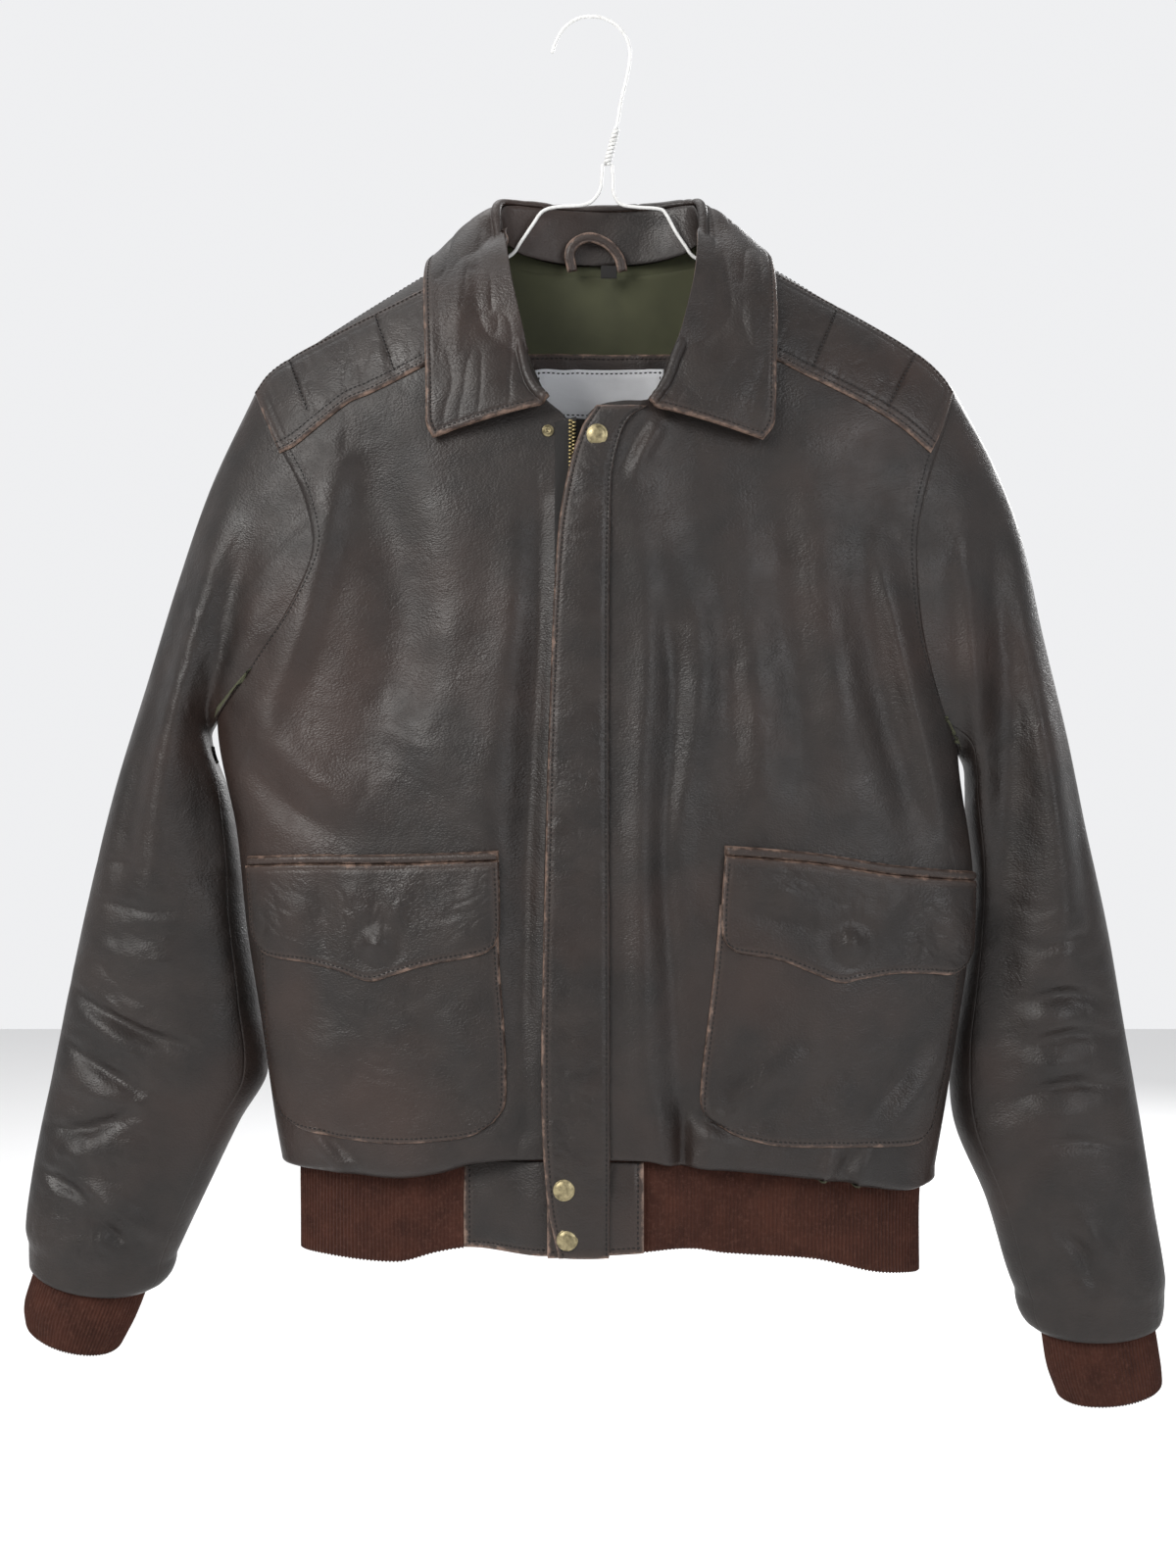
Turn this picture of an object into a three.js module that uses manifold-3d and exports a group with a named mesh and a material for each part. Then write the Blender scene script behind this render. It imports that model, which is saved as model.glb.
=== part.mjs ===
// A worn leather flight jacket, empty, hanging on a wire hanger.
// Millimetres, +Z up, +X towards the wearer's left, the front faces -Y.
// The origin is the inside top of the hanger's hook. "Drop" is the distance below it, so z is -drop.
import * as THREE from "three";
import { mergeVertices } from "three/addons/utils/BufferGeometryUtils.js";
import Module from "manifold-3d";

const wasm = await Module();
wasm.setup();

// Cloth and seams
const LEATHER = 2.0;
const THIN_LEATHER = 1.3;
const KNIT = 2.6;
const CLOTH = 1.0;
const SEAM = 0.3;

// Torso, as a flattened tube whose front and back meet at the side and shoulder seams
const CENTRE_X = 8;
const FRONT_POWER = 2.3;
const BACK_POWER = 2.5;
const FRONT_SHOULDER_ROUND = 85;
const BACK_SHOULDER_ROUND = 50;
const HEM_ROLL = {
  centre: 2.6, side: 8.5, widensFrom: 45, widensOver: 45, narrowsFrom: 0.72, narrowsOver: 0.24,
};
const SIDE_ROLL = 3;
const HEM_DROP = { edge: 735, middle: 740, side: 745 };
const FLAP_LIFT = { height: 7, from: 22, over: 45 };
const FOLD_FADE = 0.35;
const FOLD_REACH = 1.6;
const NORMAL_STEP = 1.5;

// Rows and columns of the cloth's points
const ARMHOLE_ROWS = 10;
const SIDE_ROWS = 9;
const ROLL_ANGLES = [50, 100, 150];
const PRISM = { depth: 200, behindFront: 10, behindBack: 150 };
const UNDERARM_GAP = { gap: 5, from: 0.6, over: 0.3 };
const FRONT_COLUMNS = 11;
const BACK_SHOULDER_COLUMNS = 7;
const BACK_NECK_COLUMNS = 5;
const ARMHOLE_SHARE = 0.45;
const EDGE_END = 0.2;

// Colours from the photograph, as sRGB
const BROWN = 0x3a302c;
const RIB = 0x42261c;
const OLIVE = 0x45462e;
const BRASS = 0xa89a5c;
const WHITE_WIRE = 0xe9e9e6;
const LABEL = 0xdfe0e2;
const TAPE = 0x2c2420;

// Curves

// A smooth curve through knots [t, values...]; each knot's slope comes from its neighbours.
function curve(knots) {
  const last = knots.length - 1;
  const slope = (i, k) => {
    const a = knots[Math.max(i - 1, 0)];
    const b = knots[Math.min(i + 1, last)];
    return (b[k] - a[k]) / (b[0] - a[0]);
  };
  return (t) => {
    const at = Math.min(Math.max(t, knots[0][0]), knots[last][0]);
    let i = 0;
    while (i < last - 1 && at > knots[i + 1][0]) i++;
    const [p, q] = [knots[i], knots[i + 1]];
    const h = q[0] - p[0];
    const s = (at - p[0]) / h;
    const s2 = s * s;
    const s3 = s2 * s;
    return p.slice(1).map((value, n) => {
      const k = n + 1;
      return (2 * s3 - 3 * s2 + 1) * value + (s3 - 2 * s2 + s) * h * slope(i, k)
        + (3 * s2 - 2 * s3) * q[k] + (s3 - s2) * h * slope(i + 1, k);
    });
  };
}

// The same with one value for each t.
function graph(knots) {
  const f = curve(knots);
  return (t) => f(t)[0];
}

const mix = (a, b, t) => a + (b - a) * t;
const smooth = (t) => {
  const s = Math.min(Math.max(t, 0), 1);
  return s * s * (3 - 2 * s);
};
const evenly = (n) => Array.from({ length: n + 1 }, (_, i) => i / n);

// Folds: each is a soft ridge (rise above 0) or trough along a path of [x, drop] points.
const FRONT_FOLDS = [
  { rise: 6, width: 20, path: [[-160, 300], [-170, 365], [-186, 425], [-212, 495]] },
  { rise: -6, width: 24, path: [[-146, 285], [-128, 345], [-140, 410], [-150, 470]] },
  { rise: 3, width: 22, path: [[-52, 370], [-56, 470], [-66, 530]] },
  { rise: -5, width: 12, path: [[-47, 330], [-49, 480], [-48, 600], [-46, 705]] },
  { rise: 4, width: 30, path: [[-100, 330], [-95, 430], [-120, 520]] },
  { rise: 7, width: 13, path: [[180, 342], [190, 388], [202, 430], [218, 478], [232, 530]] },
  { rise: -5, width: 18, path: [[166, 400], [182, 470], [198, 530]] },
  { rise: 4, width: 26, path: [[148, 300], [164, 375], [168, 470]] },
  { rise: 4, width: 17, path: [[33, 335], [60, 400], [71, 440], [54, 500], [36, 620]] },
  { rise: -3, width: 20, path: [[100, 330], [104, 420], [92, 500]] },
  { rise: 4, width: 20, path: [[116, 400], [118, 470]] },
  { rise: 5, width: 11, path: [[33, 630], [33, 725]] },
];
const BACK_FOLDS = [
  { rise: 5, width: 30, path: [[-150, 290], [-165, 400], [-185, 520]] },
  { rise: 5, width: 30, path: [[165, 290], [180, 400], [200, 520]] },
  { rise: -4, width: 34, path: [[-95, 330], [-105, 480], [-90, 640]] },
  { rise: -4, width: 34, path: [[110, 330], [120, 480], [105, 640]] },
  { rise: 4, width: 40, path: [[8, 260], [2, 420], [12, 600]] },
];

// How far the cloth stands out at x and drop because of its folds.
function foldHeight(folds, x, drop) {
  let height = 0;
  for (const { rise, width, path } of folds) {
    let nearest = Infinity;
    let along = 0;
    for (let i = 0; i < path.length - 1; i++) {
      const [ax, ad] = path[i];
      const [bx, bd] = path[i + 1];
      const [dx, dd] = [bx - ax, bd - ad];
      const t = ((x - ax) * dx + (drop - ad) * dd) / (dx * dx + dd * dd);
      const on = Math.min(Math.max(t, 0), 1);
      const away = Math.hypot(x - ax - on * dx, drop - ad - on * dd);
      if (away < nearest) {
        nearest = away;
        along = (i + on) / (path.length - 1);
      }
    }
    const fade = mix(FOLD_FADE, 1, Math.sin(Math.PI * along));
    height += rise * fade * Math.exp(-((nearest / width) ** 2));
  }
  return height;
}

// Torso outline

const sideRight = graph([[240, -232], [459, -243], [530, -230], [592, -223], [655, -213], [711, -205],
  [745, -199]]);
const sideLeft = graph([[240, 248], [400, 240], [480, 236], [556, 245], [608, 242], [655, 235],
  [699, 228], [745, 220]]);
const ridgeY = graph([[140, 0], [250, 0], [460, -12], [600, -18], [760, -20]]);
const frontDepth = graph([[140, 46], [250, 52], [350, 56], [450, 58], [600, 62], [745, 64]]);
const backDepth = graph([[140, 22], [250, 24], [460, 36], [600, 42], [760, 44]]);
const shoulderDrop = graph([
  [-240, 272], [-221, 246], [-208, 232], [-173, 207], [-108, 167], [-62, 141], [6, 118],
  [75, 141], [123, 167], [158, 188], [190, 206], [216, 222], [236, 243], [252, 268],
]);
const neckX = { right: -62, left: 75 };
const tipX = { right: -221, left: 236 };

const power = (face) => (face < 0 ? FRONT_POWER : BACK_POWER);
const sideReach = (side, drop) => (side < 0 ? CENTRE_X - sideRight(drop) : sideLeft(drop) - CENTRE_X);

// Where x lies between the side seams at that drop: -1 at the right one, 1 at the left one.
function acrossAt(face, x, drop) {
  const side = x < CENTRE_X ? -1 : 1;
  const share = Math.min(Math.abs(x - CENTRE_X) / sideReach(side, drop), 1);
  return side * (2 / Math.PI) * Math.asin(share ** (power(face) / 2));
}

// A point of the torso's outside. face is -1 for the front and 1 for the back.
function torsoPoint(face, across, drop) {
  const side = across < 0 ? -1 : 1;
  const angle = (Math.min(Math.abs(across), 1) * Math.PI) / 2;
  const n = 2 / power(face);
  const x = CENTRE_X + side * sideReach(side, drop) * Math.sin(angle) ** n;
  const round = face < 0 ? FRONT_SHOULDER_ROUND : BACK_SHOULDER_ROUND;
  const under = Math.min(Math.max((drop - shoulderDrop(x)) / round, 0), 1);
  const bulge = Math.max(Math.cos(angle), 0) ** n * Math.sqrt(1 - (1 - under) ** 2);
  const depth = face < 0 ? frontDepth(drop) : backDepth(drop);
  const folds = foldHeight(face < 0 ? FRONT_FOLDS : BACK_FOLDS, x, drop);
  const out = SEAM / 2 + depth * bulge + folds * Math.min(bulge * FOLD_REACH, 1);
  return new THREE.Vector3(x, ridgeY(drop) + face * out, -drop);
}

// The left front passes over the right one, so its middle stands off.
const flapLift = (x) => FLAP_LIFT.height * (1 - smooth((x - FLAP_LIFT.from) / FLAP_LIFT.over));

function frontPoint(x, drop, lifted) {
  const p = torsoPoint(-1, acrossAt(-1, x, drop), drop);
  if (lifted) p.y -= flapLift(x);
  return p;
}

const rightFront = (x, drop) => frontPoint(x, drop, false);
const leftFront = (x, drop) => frontPoint(x, drop, true);
const backFace = (x, drop) => torsoPoint(1, acrossAt(1, x, drop), drop);

// The outward normal of a surface given by x and drop.
function normalAt(surface, x, drop, face) {
  const across = surface(x + NORMAL_STEP, drop).sub(surface(x - NORMAL_STEP, drop));
  const down = surface(x, drop + NORMAL_STEP).sub(surface(x, drop - NORMAL_STEP));
  const n = across.cross(down).normalize();
  return n.y * face < 0 ? n.negate() : n;
}

// Walls

function gridNormals(points, closed) {
  const rows = points.length;
  const columns = points[0].length;
  const at = (r, c) => points[r][closed ? (c + columns) % columns : Math.min(Math.max(c, 0), columns - 1)];
  return points.map((row, r) => row.map((_, c) => {
    const across = at(r, c + 1).clone().sub(at(r, c - 1));
    const down = at(Math.min(r + 1, rows - 1), c).clone().sub(at(Math.max(r - 1, 0), c));
    return across.cross(down).normalize();
  }));
}

function flipTowards(normals, outwards) {
  const middle = normals[Math.floor(normals.length / 2)];
  const n = middle[Math.floor(middle.length / 2)];
  if (n.dot(outwards) < 0) normals.flat().forEach((v) => v.negate());
  return normals;
}

// A closed wall: its outer side holds the points, and its inner side is moved in along the normals.
// Each cell is halved along its shorter diagonal, as it is in the cloth that the wall lies on, if it has one.
function wall(points, normals, thickness, closed = false, cloth = points) {
  const rows = points.length;
  const columns = points[0].length;
  const vertices = [];
  const depthAt = typeof thickness === "function" ? thickness : () => thickness;
  for (const inner of [0, 1]) {
    points.forEach((row, r) => row.forEach((p, c) => {
      const q = p.clone().addScaledVector(normals[r][c], -inner * depthAt(r, c));
      vertices.push(q.x, q.y, q.z);
    }));
  }
  const id = (inner, r, c) => inner * rows * columns + r * columns + (c % columns);
  const faces = [];
  const quad = (a, b, c, d) => faces.push(a, b, c, a, c, d);
  const spans = closed ? columns : columns - 1;
  for (let r = 0; r < rows - 1; r++) {
    for (let c = 0; c < spans; c++) {
      const next = (c + 1) % columns;
      const falling = cloth[r][c].distanceTo(cloth[r + 1][next]);
      const rising = cloth[r + 1][c].distanceTo(cloth[r][next]);
      for (const inner of [0, 1]) {
        let ring = [id(inner, r, c), id(inner, r + 1, c), id(inner, r + 1, c + 1), id(inner, r, c + 1)];
        if (falling > rising) ring = [...ring.slice(1), ring[0]];
        if (inner) ring = [ring[0], ring[3], ring[2], ring[1]];
        quad(...ring);
      }
    }
  }
  for (let c = 0; c < spans; c++) {
    quad(id(0, 0, c), id(0, 0, c + 1), id(1, 0, c + 1), id(1, 0, c));
    quad(id(0, rows - 1, c), id(1, rows - 1, c), id(1, rows - 1, c + 1), id(0, rows - 1, c + 1));
  }
  for (let r = 0; !closed && r < rows - 1; r++) {
    quad(id(0, r, 0), id(1, r, 0), id(1, r + 1, 0), id(0, r + 1, 0));
    quad(id(0, r, spans), id(0, r + 1, spans), id(1, r + 1, spans), id(1, r, spans));
  }
  return closedBody(vertices, faces);
}

// A geometry whose faces point out, whichever way round its points were given.
function closedBody(vertices, faces) {
  const v = (i) => new THREE.Vector3().fromArray(vertices, i * 3);
  let volume = 0;
  for (let i = 0; i < faces.length; i += 3) {
    volume += v(faces[i]).dot(v(faces[i + 1]).cross(v(faces[i + 2])));
  }
  if (volume < 0) {
    for (let i = 0; i < faces.length; i += 3) [faces[i + 1], faces[i + 2]] = [faces[i + 2], faces[i + 1]];
  }
  return new THREE.BufferGeometry()
    .setAttribute("position", new THREE.Float32BufferAttribute(vertices, 3))
    .setIndex(faces);
}

// Moves the end points of a wall back from the seam, towards its own cloth.
const setBack = (edge, next, distance) => {
  const inward = next.clone().sub(edge).normalize();
  return edge.clone().addScaledVector(inward, distance);
};

// A four-sided piece between its top, bottom and two side edges; each edge gives [across, drop].
function fourSided(top, bottom, inner, outer) {
  const corner = [inner(0), outer(0), inner(1), outer(1)];
  return (u, v) => [0, 1].map((k) => mix(inner(v)[k], outer(v)[k], u) + mix(top(u)[k], bottom(u)[k], v)
    - mix(mix(corner[0][k], corner[1][k], u), mix(corner[2][k], corner[3][k], u), v));
}

// Body panels

// Rows are closer together at the shoulder and at the underarm, where the cloth turns most.
const downShares = [
  ...evenly(ARMHOLE_ROWS).map((t) => ARMHOLE_SHARE * mix(t, smooth(t), 0.5)),
  ...evenly(SIDE_ROWS).slice(1).map((t) => mix(ARMHOLE_SHARE, 1, t)),
];

// Armhole seams from shoulder tip to underarm, as [share of the way down, x, drop]
const FRONT_ARMHOLE = {
  right: curve([[0, -221, 246], [0.06, -208, 272], [0.1, -199, 287], [0.15, -187, 309], [0.2, -180, 330],
    [0.24, -177, 350], [0.27, -183, 370], [0.3, -197, 396], [0.33, -211, 416], [0.36, -225, 436],
    [0.4, -236, 450], [0.45, -243, 459]]),
  left: curve([[0, 236, 243], [0.06, 225, 275], [0.11, 217, 298], [0.16, 211, 320], [0.21, 207, 343],
    [0.25, 207, 370], [0.29, 210, 402], [0.33, 217, 432], [0.37, 225, 456], [0.41, 232, 470],
    [0.45, 236, 480]]),
};
const BACK_ARMHOLE = {
  right: curve([[0, -221, 246], [0.1, -213, 286], [0.18, -208, 325], [0.25, -210, 360], [0.31, -217, 396],
    [0.36, -227, 426], [0.4, -236, 445], [0.45, -243, 459]]),
  left: curve([[0, 236, 243], [0.1, 228, 286], [0.18, 223, 330], [0.25, 221, 370], [0.31, 223, 408],
    [0.36, 227, 440], [0.4, 232, 462], [0.45, 236, 480]]),
};
// Neck and front edges, from the neck point down
const FRONT_EDGE = {
  right: curve([[0, -62, 141], [0.05, -64, 165], [0.1, -60, 190], [0.15, -51, 216], [0.19, -42, 238],
    [0.22, -31, 256], [0.26, -17, 270], [0.3, -11, 294], [0.36, -10, 334], [1, -10, 730]]),
  left: curve([[0, 75, 141], [0.05, 76, 165], [0.1, 71, 192], [0.14, 62, 218], [0.165, 53, 240],
    [0.185, 38, 257],
    [0.205, 19, 259], [0.225, 4, 262], [0.245, -5, 272], [0.28, -14, 300], [0.34, -21, 340], [0.5, -26, 432],
    [0.75, -30, 590], [1, -27, 730]]),
};
const BACK_NECK = graph([[-62, 141], [-45, 151], [-20, 157], [6, 158], [33, 157], [58, 151], [75, 141]]);
const HEM = {
  right: graph([[-199, 742], [-160, 745], [-125, 747], [-95, 743], [-75, 737], [-50, 734], [-10, 733]]),
  left: graph([[-27, 733], [30, 733], [52, 737], [75, 740], [110, 744], [150, 749], [200, 757], [220, 754]]),
  back: graph([[-199, 742], [-100, 746], [8, 747], [110, 749], [220, 754]]),
};
// The hem's roll is small at the front middle and at the side seams, and large between.
function rollAt(face, x) {
  const { centre, side, widensFrom, widensOver, narrowsFrom, narrowsOver } = HEM_ROLL;
  const away = Math.abs(x - CENTRE_X);
  const full = face < 0 ? mix(centre, side, smooth((away - widensFrom) / widensOver)) : side;
  const share = away / sideReach(x < CENTRE_X ? -1 : 1, HEM_DROP.side);
  return mix(full, SIDE_ROLL, smooth((share - narrowsFrom) / narrowsOver));
}

// Adds the rows that turn in under the hem.
function rollHem(points, face, seams) {
  const last = points.length - 1;
  const ends = gridNormals(points.slice(last - 1), false)[1];
  const sign = ends[Math.floor(ends.length / 2)].y * face < 0 ? -1 : 1;
  seams.forEach((c) => ends[c].setY(0));
  for (const degrees of ROLL_ANGLES) {
    const angle = (degrees * Math.PI) / 180;
    points.push(points[last].map((p, c) => {
      const r = rollAt(face, p.x);
      const out = ends[c].clone().multiplyScalar(sign).setZ(0).normalize();
      const turned = p.clone().addScaledVector(out, -r * (1 - Math.cos(angle)));
      turned.z -= r * Math.sin(angle);
      return turned;
    }));
  }
  return points;
}

// One front. side is "right" or "left"; across runs from the front edge to the side seam.
function frontPoints(side) {
  const sign = side === "right" ? -1 : 1;
  const across = (x, drop) => acrossAt(-1, x, drop);
  const hem = (x) => HEM[side](x) - rollAt(-1, x);
  const sideX = side === "right" ? sideRight : sideLeft;
  const [edgeX, sideEndX] = [FRONT_EDGE[side](1)[0], sideX(HEM_DROP.side)];
  const inner = (v) => {
    const [x, drop] = FRONT_EDGE[side](v);
    const end = smooth((v - 1 + EDGE_END) / EDGE_END);
    return [across(x, drop), mix(drop, mix(drop, hem(x), end), v)];
  };
  const outer = (v) => {
    if (v <= ARMHOLE_SHARE) {
      const [x, drop] = FRONT_ARMHOLE[side](v);
      return [v > ARMHOLE_SHARE - 1e-9 ? sign : across(x, drop), drop];
    }
    const underarm = FRONT_ARMHOLE[side](ARMHOLE_SHARE)[1];
    return [sign, mix(underarm, hem(sideEndX), (v - ARMHOLE_SHARE) / (1 - ARMHOLE_SHARE))];
  };
  const top = (u) => {
    const x = mix(neckX[side], tipX[side], u);
    return [across(x, shoulderDrop(x)), shoulderDrop(x)];
  };
  const bottom = (u) => {
    const angle = mix(across(edgeX, HEM_DROP.edge), sign, u);
    const x = torsoPoint(-1, angle, HEM_DROP.middle).x;
    return [angle, hem(x)];
  };
  const place = fourSided(top, bottom, inner, outer);
  const points = downShares.map((v) => evenly(FRONT_COLUMNS).map((u) => {
    const [a, drop] = place(u, v);
    const p = torsoPoint(-1, a, drop);
    if (side === "left") p.y -= flapLift(p.x);
    return p;
  }));
  return rollHem(points, -1, [FRONT_COLUMNS]);
}

function backPoints() {
  const across = (x, drop) => acrossAt(1, x, drop);
  const hem = (x) => HEM.back(x) - rollAt(1, x);
  const edge = (side, sign, sideX) => (v) => {
    if (v <= ARMHOLE_SHARE) {
      const [x, drop] = BACK_ARMHOLE[side](v);
      return [v > ARMHOLE_SHARE - 1e-9 ? sign : across(x, drop), drop];
    }
    const low = HEM[side](sideX(HEM_DROP.side)) - SIDE_ROLL;
    return [sign, mix(BACK_ARMHOLE[side](ARMHOLE_SHARE)[1], low, (v - ARMHOLE_SHARE) / (1 - ARMHOLE_SHARE))];
  };
  const shoulders = BACK_SHOULDER_COLUMNS;
  const total = 2 * shoulders + BACK_NECK_COLUMNS;
  const xAt = (u) => {
    const c = u * total;
    if (c <= shoulders) return mix(tipX.right, neckX.right, c / shoulders);
    if (c >= total - shoulders) return mix(neckX.left, tipX.left, (c - total + shoulders) / shoulders);
    return mix(neckX.right, neckX.left, (c - shoulders) / BACK_NECK_COLUMNS);
  };
  const top = (u) => {
    const x = xAt(u);
    const inNeck = x > neckX.right && x < neckX.left;
    const drop = inNeck ? BACK_NECK(x) : shoulderDrop(x);
    return [across(x, drop), drop];
  };
  const bottom = (u) => {
    const a = mix(-1, 1, u);
    return [a, hem(torsoPoint(1, a, HEM_DROP.middle).x)];
  };
  const place = fourSided(top, bottom, edge("right", -1, sideRight), edge("left", 1, sideLeft));
  const points = downShares.map((v) => evenly(total).map((u) => torsoPoint(1, ...place(u, v))));
  return rollHem(points, 1, [0, total]);
}

// Sleeves

// Sections down each sleeve, as [share, outer x, outer drop, inner x, inner drop, middle y, front half,
// back half, how far the front hangs below the sides]
const SLEEVE = {
  right: curve([
    [0, -222, 244, -243, 460, -5, 38, 26, 0], [0.07, -250, 303, -249, 469, 0, 38, 24, 0],
    [0.15, -272, 366, -248, 483, 4, 37, 22, 0], [0.24, -292, 434, -239, 503, 5, 36, 21, 0],
    [0.34, -311, 498, -231, 545, 5, 35, 20, 0], [0.45, -327, 562, -225.5, 592, 5, 35, 20, 0],
    [0.57, -341, 626, -218, 642, 5, 34, 20, 0], [0.7, -354, 691, -213, 688, 5, 33, 20, 2],
    [0.78, -361, 723, -231, 720, 5, 32, 20, 4], [0.86, -367, 755, -248, 755, 5, 31, 19, 7],
    [0.95, -371, 787, -265, 791, 4, 29, 18, 10], [1, -369, 798, -272, 806, 4, 27, 17, 12],
  ]),
  left: curve([
    [0, 237, 244, 236, 481, -5, 38, 26, 0], [0.07, 262, 290, 242, 490, 0, 38, 24, 0],
    [0.14, 281, 338, 243.5, 503, 4, 37, 22, 0], [0.22, 295, 402, 244, 522, 5, 36, 21, 0],
    [0.32, 310, 466, 248, 560, 6, 35, 20, 0], [0.43, 323, 530, 246, 600, 7, 35, 20, 0],
    [0.54, 337, 594, 240, 640, 7, 34, 20, 0], [0.65, 348, 658, 234, 678, 7, 33, 20, 1],
    [0.75, 359, 723, 237, 722, 6, 32, 20, 3], [0.85, 367, 775, 257, 770, 5, 31, 19, 6],
    [0.94, 374, 818, 270, 814, 4, 29, 18, 8], [1, 374, 831, 276, 830, 4, 27, 17, 9],
  ]),
};
const CUFF = {
  right: curve([
    [0, -358, 794, -286, 808, 4, 19, 12, 10], [0.3, -364, 812, -291, 826, 4, 22, 14, 10],
    [0.65, -371, 836, -299, 847, 4, 24, 16, 9], [1, -370, 851, -309, 866, 4, 24, 16, 8],
  ]),
  left: curve([
    [0, 363, 828, 290, 832, 4, 19, 12, 9], [0.3, 367, 850, 293, 854, 4, 22, 14, 8],
    [0.65, 371, 876, 297, 880, 4, 24, 16, 7], [1, 372, 891, 304, 899, 4, 24, 16, 6],
  ]),
};
const SLEEVE_FOLDS = {
  right: [
    { rise: 7, width: 15, path: [[-232, 300], [-256, 390], [-278, 490], [-288, 580]] },
    { rise: -10, width: 16, path: [[-215, 330], [-234, 400], [-246, 470], [-244, 560]] },
    { rise: 5, width: 12, path: [[-345, 650], [-300, 668]] },
    { rise: 5, width: 12, path: [[-350, 690], [-310, 702]] },
    { rise: -5, width: 9, path: [[-345, 672], [-295, 690]] },
  ],
  left: [
    { rise: 7, width: 12, path: [[232, 320], [243, 400], [246, 490], [255, 570]] },
    { rise: -7, width: 15, path: [[262, 310], [268, 420], [274, 540], [283, 650]] },
    { rise: 6, width: 13, path: [[280, 350], [292, 460], [308, 590], [318, 700]] },
    { rise: -4, width: 8, path: [[292, 400], [306, 480], [322, 590]] },
  ],
};
const SLEEVE_ROWS = 15;
const ROW_GROWTH = 1.15;
// The armhole's shape fades out of the sleeve by these shares of its length
const SETTLE = { outer: 0.4, inner: 0.09, power: 1.7 };
const FOLDS_FROM = 0.12;
// The sleeve's end turns in to the cuff in these steps, and stays this far off the knit
const END_TURN = { steps: [0.35, 0.75, 1], depth: 0.8, fullness: 0.96, cuffShare: 0.36, clear: 3.4 };

// A point of a tube section, where turn is 0 at the outer edge, a quarter in front and a half inside.
function tubePoint(section, turn) {
  const [outerX, outerDrop, innerX, innerDrop, middleY, front, back, hang] = section;
  const [c, s] = [Math.cos(turn * 2 * Math.PI), Math.sin(turn * 2 * Math.PI)];
  const reach = (1 - c) / 2;
  const depth = s > 0 ? front : back;
  const drop = mix(outerDrop, innerDrop, reach) + hang * s;
  return new THREE.Vector3(mix(outerX, innerX, reach), middleY - depth * s, -drop);
}

// The rings of one sleeve. The first is the armhole itself, and the last ones turn in to the cuff.
function sleevePoints(side, armhole) {
  const count = armhole.length;
  const shares = evenly(SLEEVE_ROWS).map((t) => t ** ROW_GROWTH);
  const first = SLEEVE[side](0);
  const rings = shares.map((share) => {
    const section = SLEEVE[side](share);
    return armhole.map((seam, i) => {
      const turn = i / count;
      const settleBy = mix(SETTLE.outer, SETTLE.inner, (1 - Math.cos(turn * 2 * Math.PI)) / 2);
      const settle = Math.max(1 - share / settleBy, 0) ** SETTLE.power;
      const p = tubePoint(section, turn);
      p.addScaledVector(seam.clone().sub(tubePoint(first, turn)), settle);
      const facing = Math.max(Math.sin(turn * 2 * Math.PI), 0) ** 0.6;
      p.y -= foldHeight(SLEEVE_FOLDS[side], p.x, -p.z) * facing * smooth(share / FOLDS_FROM);
      return p;
    });
  });
  const end = rings[rings.length - 1];
  const wrist = CUFF[side](END_TURN.cuffShare);
  const centre = tubePoint(wrist, 0).add(tubePoint(wrist, 0.5)).multiplyScalar(0.5);
  for (const t of END_TURN.steps) {
    rings.push(end.map((p, i) => {
      const q = tubePoint(wrist, i / count);
      q.addScaledVector(q.clone().sub(centre).normalize(), END_TURN.clear);
      const inward = 1 - Math.sqrt(1 - t * t * END_TURN.fullness);
      const z = mix(p.z, q.z, t * END_TURN.depth);
      return new THREE.Vector3(mix(p.x, q.x, inward), mix(p.y, q.y, inward), z);
    }));
  }
  return rings;
}

// Waist: the knit band and its leather ends

const WAIST_SIDE = { right: -188, left: 210 };
const WAIST_CENTRE = 10;
const WAIST_RIDGE_Y = -19;
const WAIST_FRONT_DEPTH = 43;
const WAIST_BACK_DEPTH = 20;
const WAIST_TOP = 727;
const WAIST_LOW_FRONT = graph([[-188, 797], [-125, 801], [-98, 794], [-79, 791], [-30, 793], [32, 790],
  [60, 789], [85, 794], [140, 799], [180, 809], [210, 812]]);
const WAIST_LOW_BACK = graph([[-188, 797], [-60, 801], [80, 803], [210, 812]]);

// The knit follows the fronts' hem forward at the middle, and its leather ends stand further forward.
const KNIT_FORWARD = 12;
const END_FORWARD = 17;
const WAIST_MIDDLE = { x: 9, from: 40, over: 45 };
const WAIST_BELLY = { depth: 3, spread: 1.1 };
const towardsMiddle = (x) => {
  const away = Math.abs(x - WAIST_MIDDLE.x);
  return 1 - smooth((away - WAIST_MIDDLE.from) / WAIST_MIDDLE.over);
};

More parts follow.
